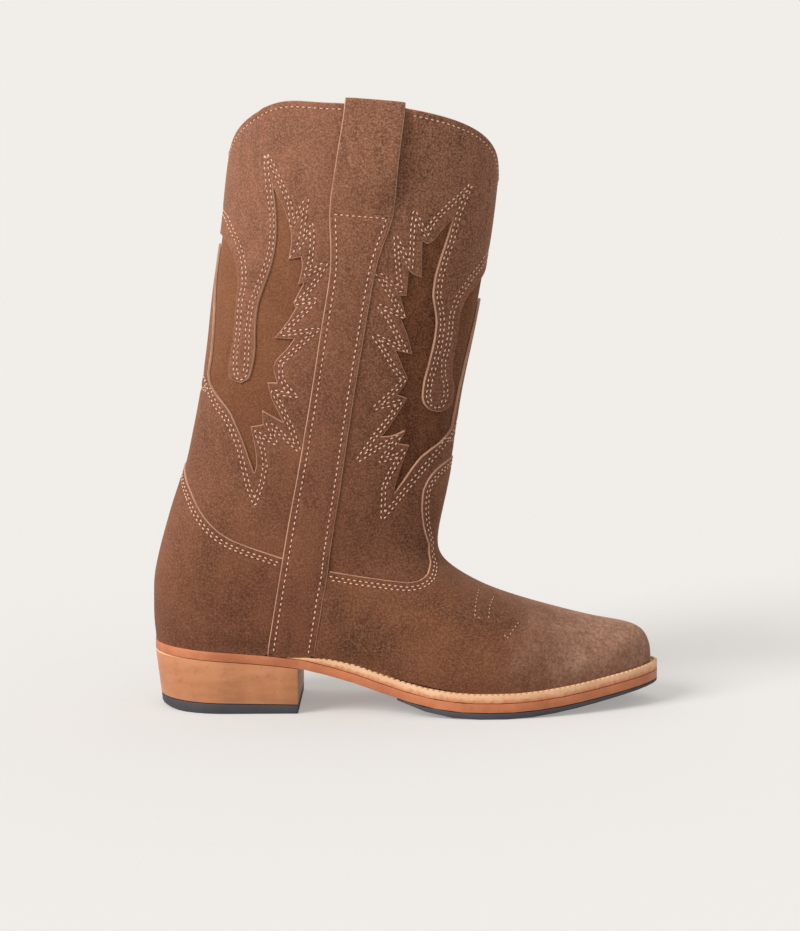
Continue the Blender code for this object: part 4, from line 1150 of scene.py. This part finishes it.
# Heel stack. Lifts of sole leather glued one on another, trimmed together, sanded and waxed to a tan in
# which the layers show faintly; the topmost edge carries a painted highlight, a pale line where it meets the
# outsole.
HEEL_BEVEL = 0.4 * MM
STACK_LIFT = 4.5
LAYER_STRETCH = (0.12, 0.12, 1.0)
# The painted highlight along the stack's top edge begins at the first height and is full at the second
HIGHLIGHT_FROM = 31.0 * MM
HIGHLIGHT_FULL = 32.0 * MM
# Marks on the stack's side: size in mm; detail and roughness of the noise; the part of it that counts; its
# greatest effect; and its colour
HEEL_MARKS = {
    "layers": (STACK_LIFT, 4.0, 0.6, (0.3, 0.7), 1.0, "#a76c46"),
    "clouds": (14.0, 5.0, 0.65, (0.35, 0.65), 0.6, "#b0764c"),
    "specks": (2.2, 2.0, 0.6, (0.64, 0.74), 0.55, "#75452a"),
}
# Stacked leather, sanded and waxed: tan with level streaks, clouds and dark specks, and a low even shine
heel_leather, tree, shader = new_material("stacked_heel_leather")
place = add_node(tree, "ShaderNodeTexCoord").outputs["Object"]
layered_place = add_node(tree, "ShaderNodeMapping", {"Vector": place, "Scale": LAYER_STRETCH})
colour = linear("#8f5836")
mark_height = {}
for mark, (size, detail, rough, (least, most), high, tint) in HEEL_MARKS.items():
    noise = add_node(tree, "ShaderNodeTexNoise", {
        "Vector": layered_place.outputs["Vector"] if mark == "layers" else place,
        "Scale": per_size(size), "Detail": detail, "Roughness": rough})
    mark_height[mark] = noise.outputs["Fac"]
    part = add_node(tree, "ShaderNodeMapRange", {
        "Value": mark_height[mark], "From Min": least, "From Max": most, "To Max": high})
    mixed = add_node(tree, "ShaderNodeMix", {
        0: part.outputs["Result"], MIX_A: colour, MIX_B: linear(tint)}, data_type="RGBA")
    colour = mixed.outputs[MIX_OUT]
height = add_node(tree, "ShaderNodeSeparateXYZ", {"Vector": place})
# Painted highlight: a pale band at the top of the stack, where it meets the outsole
highlight_share = add_node(tree, "ShaderNodeMapRange", {
    "Value": height.outputs["Z"], "From Min": HIGHLIGHT_FROM, "From Max": HIGHLIGHT_FULL, "To Max": 0.8})
highlighted = add_node(tree, "ShaderNodeMix", {
    0: highlight_share.outputs["Result"], MIX_A: colour, MIX_B: linear("#e0a878")}, data_type="RGBA")
tree.links.new(highlighted.outputs[MIX_OUT], shader.inputs["Base Color"])
relief = add_node(tree, "ShaderNodeBump", {
    "Height": mark_height["layers"], "Strength": 0.2, "Distance": 0.3 * MM})
tree.links.new(relief.outputs["Normal"], shader.inputs["Normal"])
gloss = add_node(tree, "ShaderNodeMapRange", {"Value": mark_height["clouds"], "To Min": 0.4, "To Max": 0.6})
tree.links.new(gloss.outputs["Result"], shader.inputs["Roughness"])
sole_piece("heel_stack", "stacked_heel", heel_leather, HEEL_BEVEL)

# Studio. The boot stands on wide pale paper under an even white dome, with one broad soft light from the
# upper left in front; the camera looks level with the shaft's middle and a little down.
SENSOR = 36.0
DOME = linear("#f1ede9")
KEY_STRENGTH = 3.7
KEY_SOFTNESS = math.radians(32)
KEY_FROM = Vector((-1.15, -0.85, 0.95)).normalized()
KEY_ON_FLOOR = KEY_STRENGTH * KEY_FROM.z / math.pi
TABLE_SHARE = 0.35
FLOOR_WIDE = 90.0
SEEN_TO = 100.0
camera_data = bpy.data.cameras.new("camera")
camera_data.sensor_fit = "HORIZONTAL"
camera_data.sensor_width = SENSOR
camera_data.lens = FOCAL_UNITS / FRAME_WIDE * SENSOR
camera_data.clip_end = SEEN_TO
camera = bpy.data.objects.new("camera", camera_data)
camera.location = CAMERA_PLACE
camera.rotation_euler = CAMERA_TURN.to_euler()
bpy.context.scene.collection.objects.link(camera)
bpy.context.scene.camera = camera

floor = begin("floor", bpy.ops.mesh.primitive_plane_add, size=FLOOR_WIDE)
# Uncoated paper: no gloss, no grain. Of this shade, under dome and key light together, it looks as bright as
# the dome behind it; a share of its brightness comes from a light table below, which keeps shadows pale
paper, _, paper_shader = new_material("pale_paper")
paper_shader.inputs["Base Color"].default_value = [
    (1 - TABLE_SHARE) * c / (c + KEY_ON_FLOOR) for c in DOME[:3]] + [1.0]
paper_shader.inputs["Emission Color"].default_value = DOME
paper_shader.inputs["Emission Strength"].default_value = TABLE_SHARE
paper_shader.inputs["Roughness"].default_value = 1.0
paper_shader.inputs["Specular IOR Level"].default_value = 0.0
floor.data.materials.append(paper)

world = bpy.data.worlds.new("studio")
world.use_nodes = True
dome = world.node_tree.nodes["Background"]
dome.inputs["Color"].default_value = DOME
dome.inputs["Strength"].default_value = 1.0
bpy.context.scene.world = world
key_data = bpy.data.lights.new("key_light", "SUN")
key_data.energy = KEY_STRENGTH
key_data.angle = KEY_SOFTNESS
key_light = bpy.data.objects.new("key_light", key_data)
key_light.rotation_euler = KEY_FROM.to_track_quat("Z", "Y").to_euler()
bpy.context.scene.collection.objects.link(key_light)
bpy.context.scene.view_settings.view_transform = "Standard"
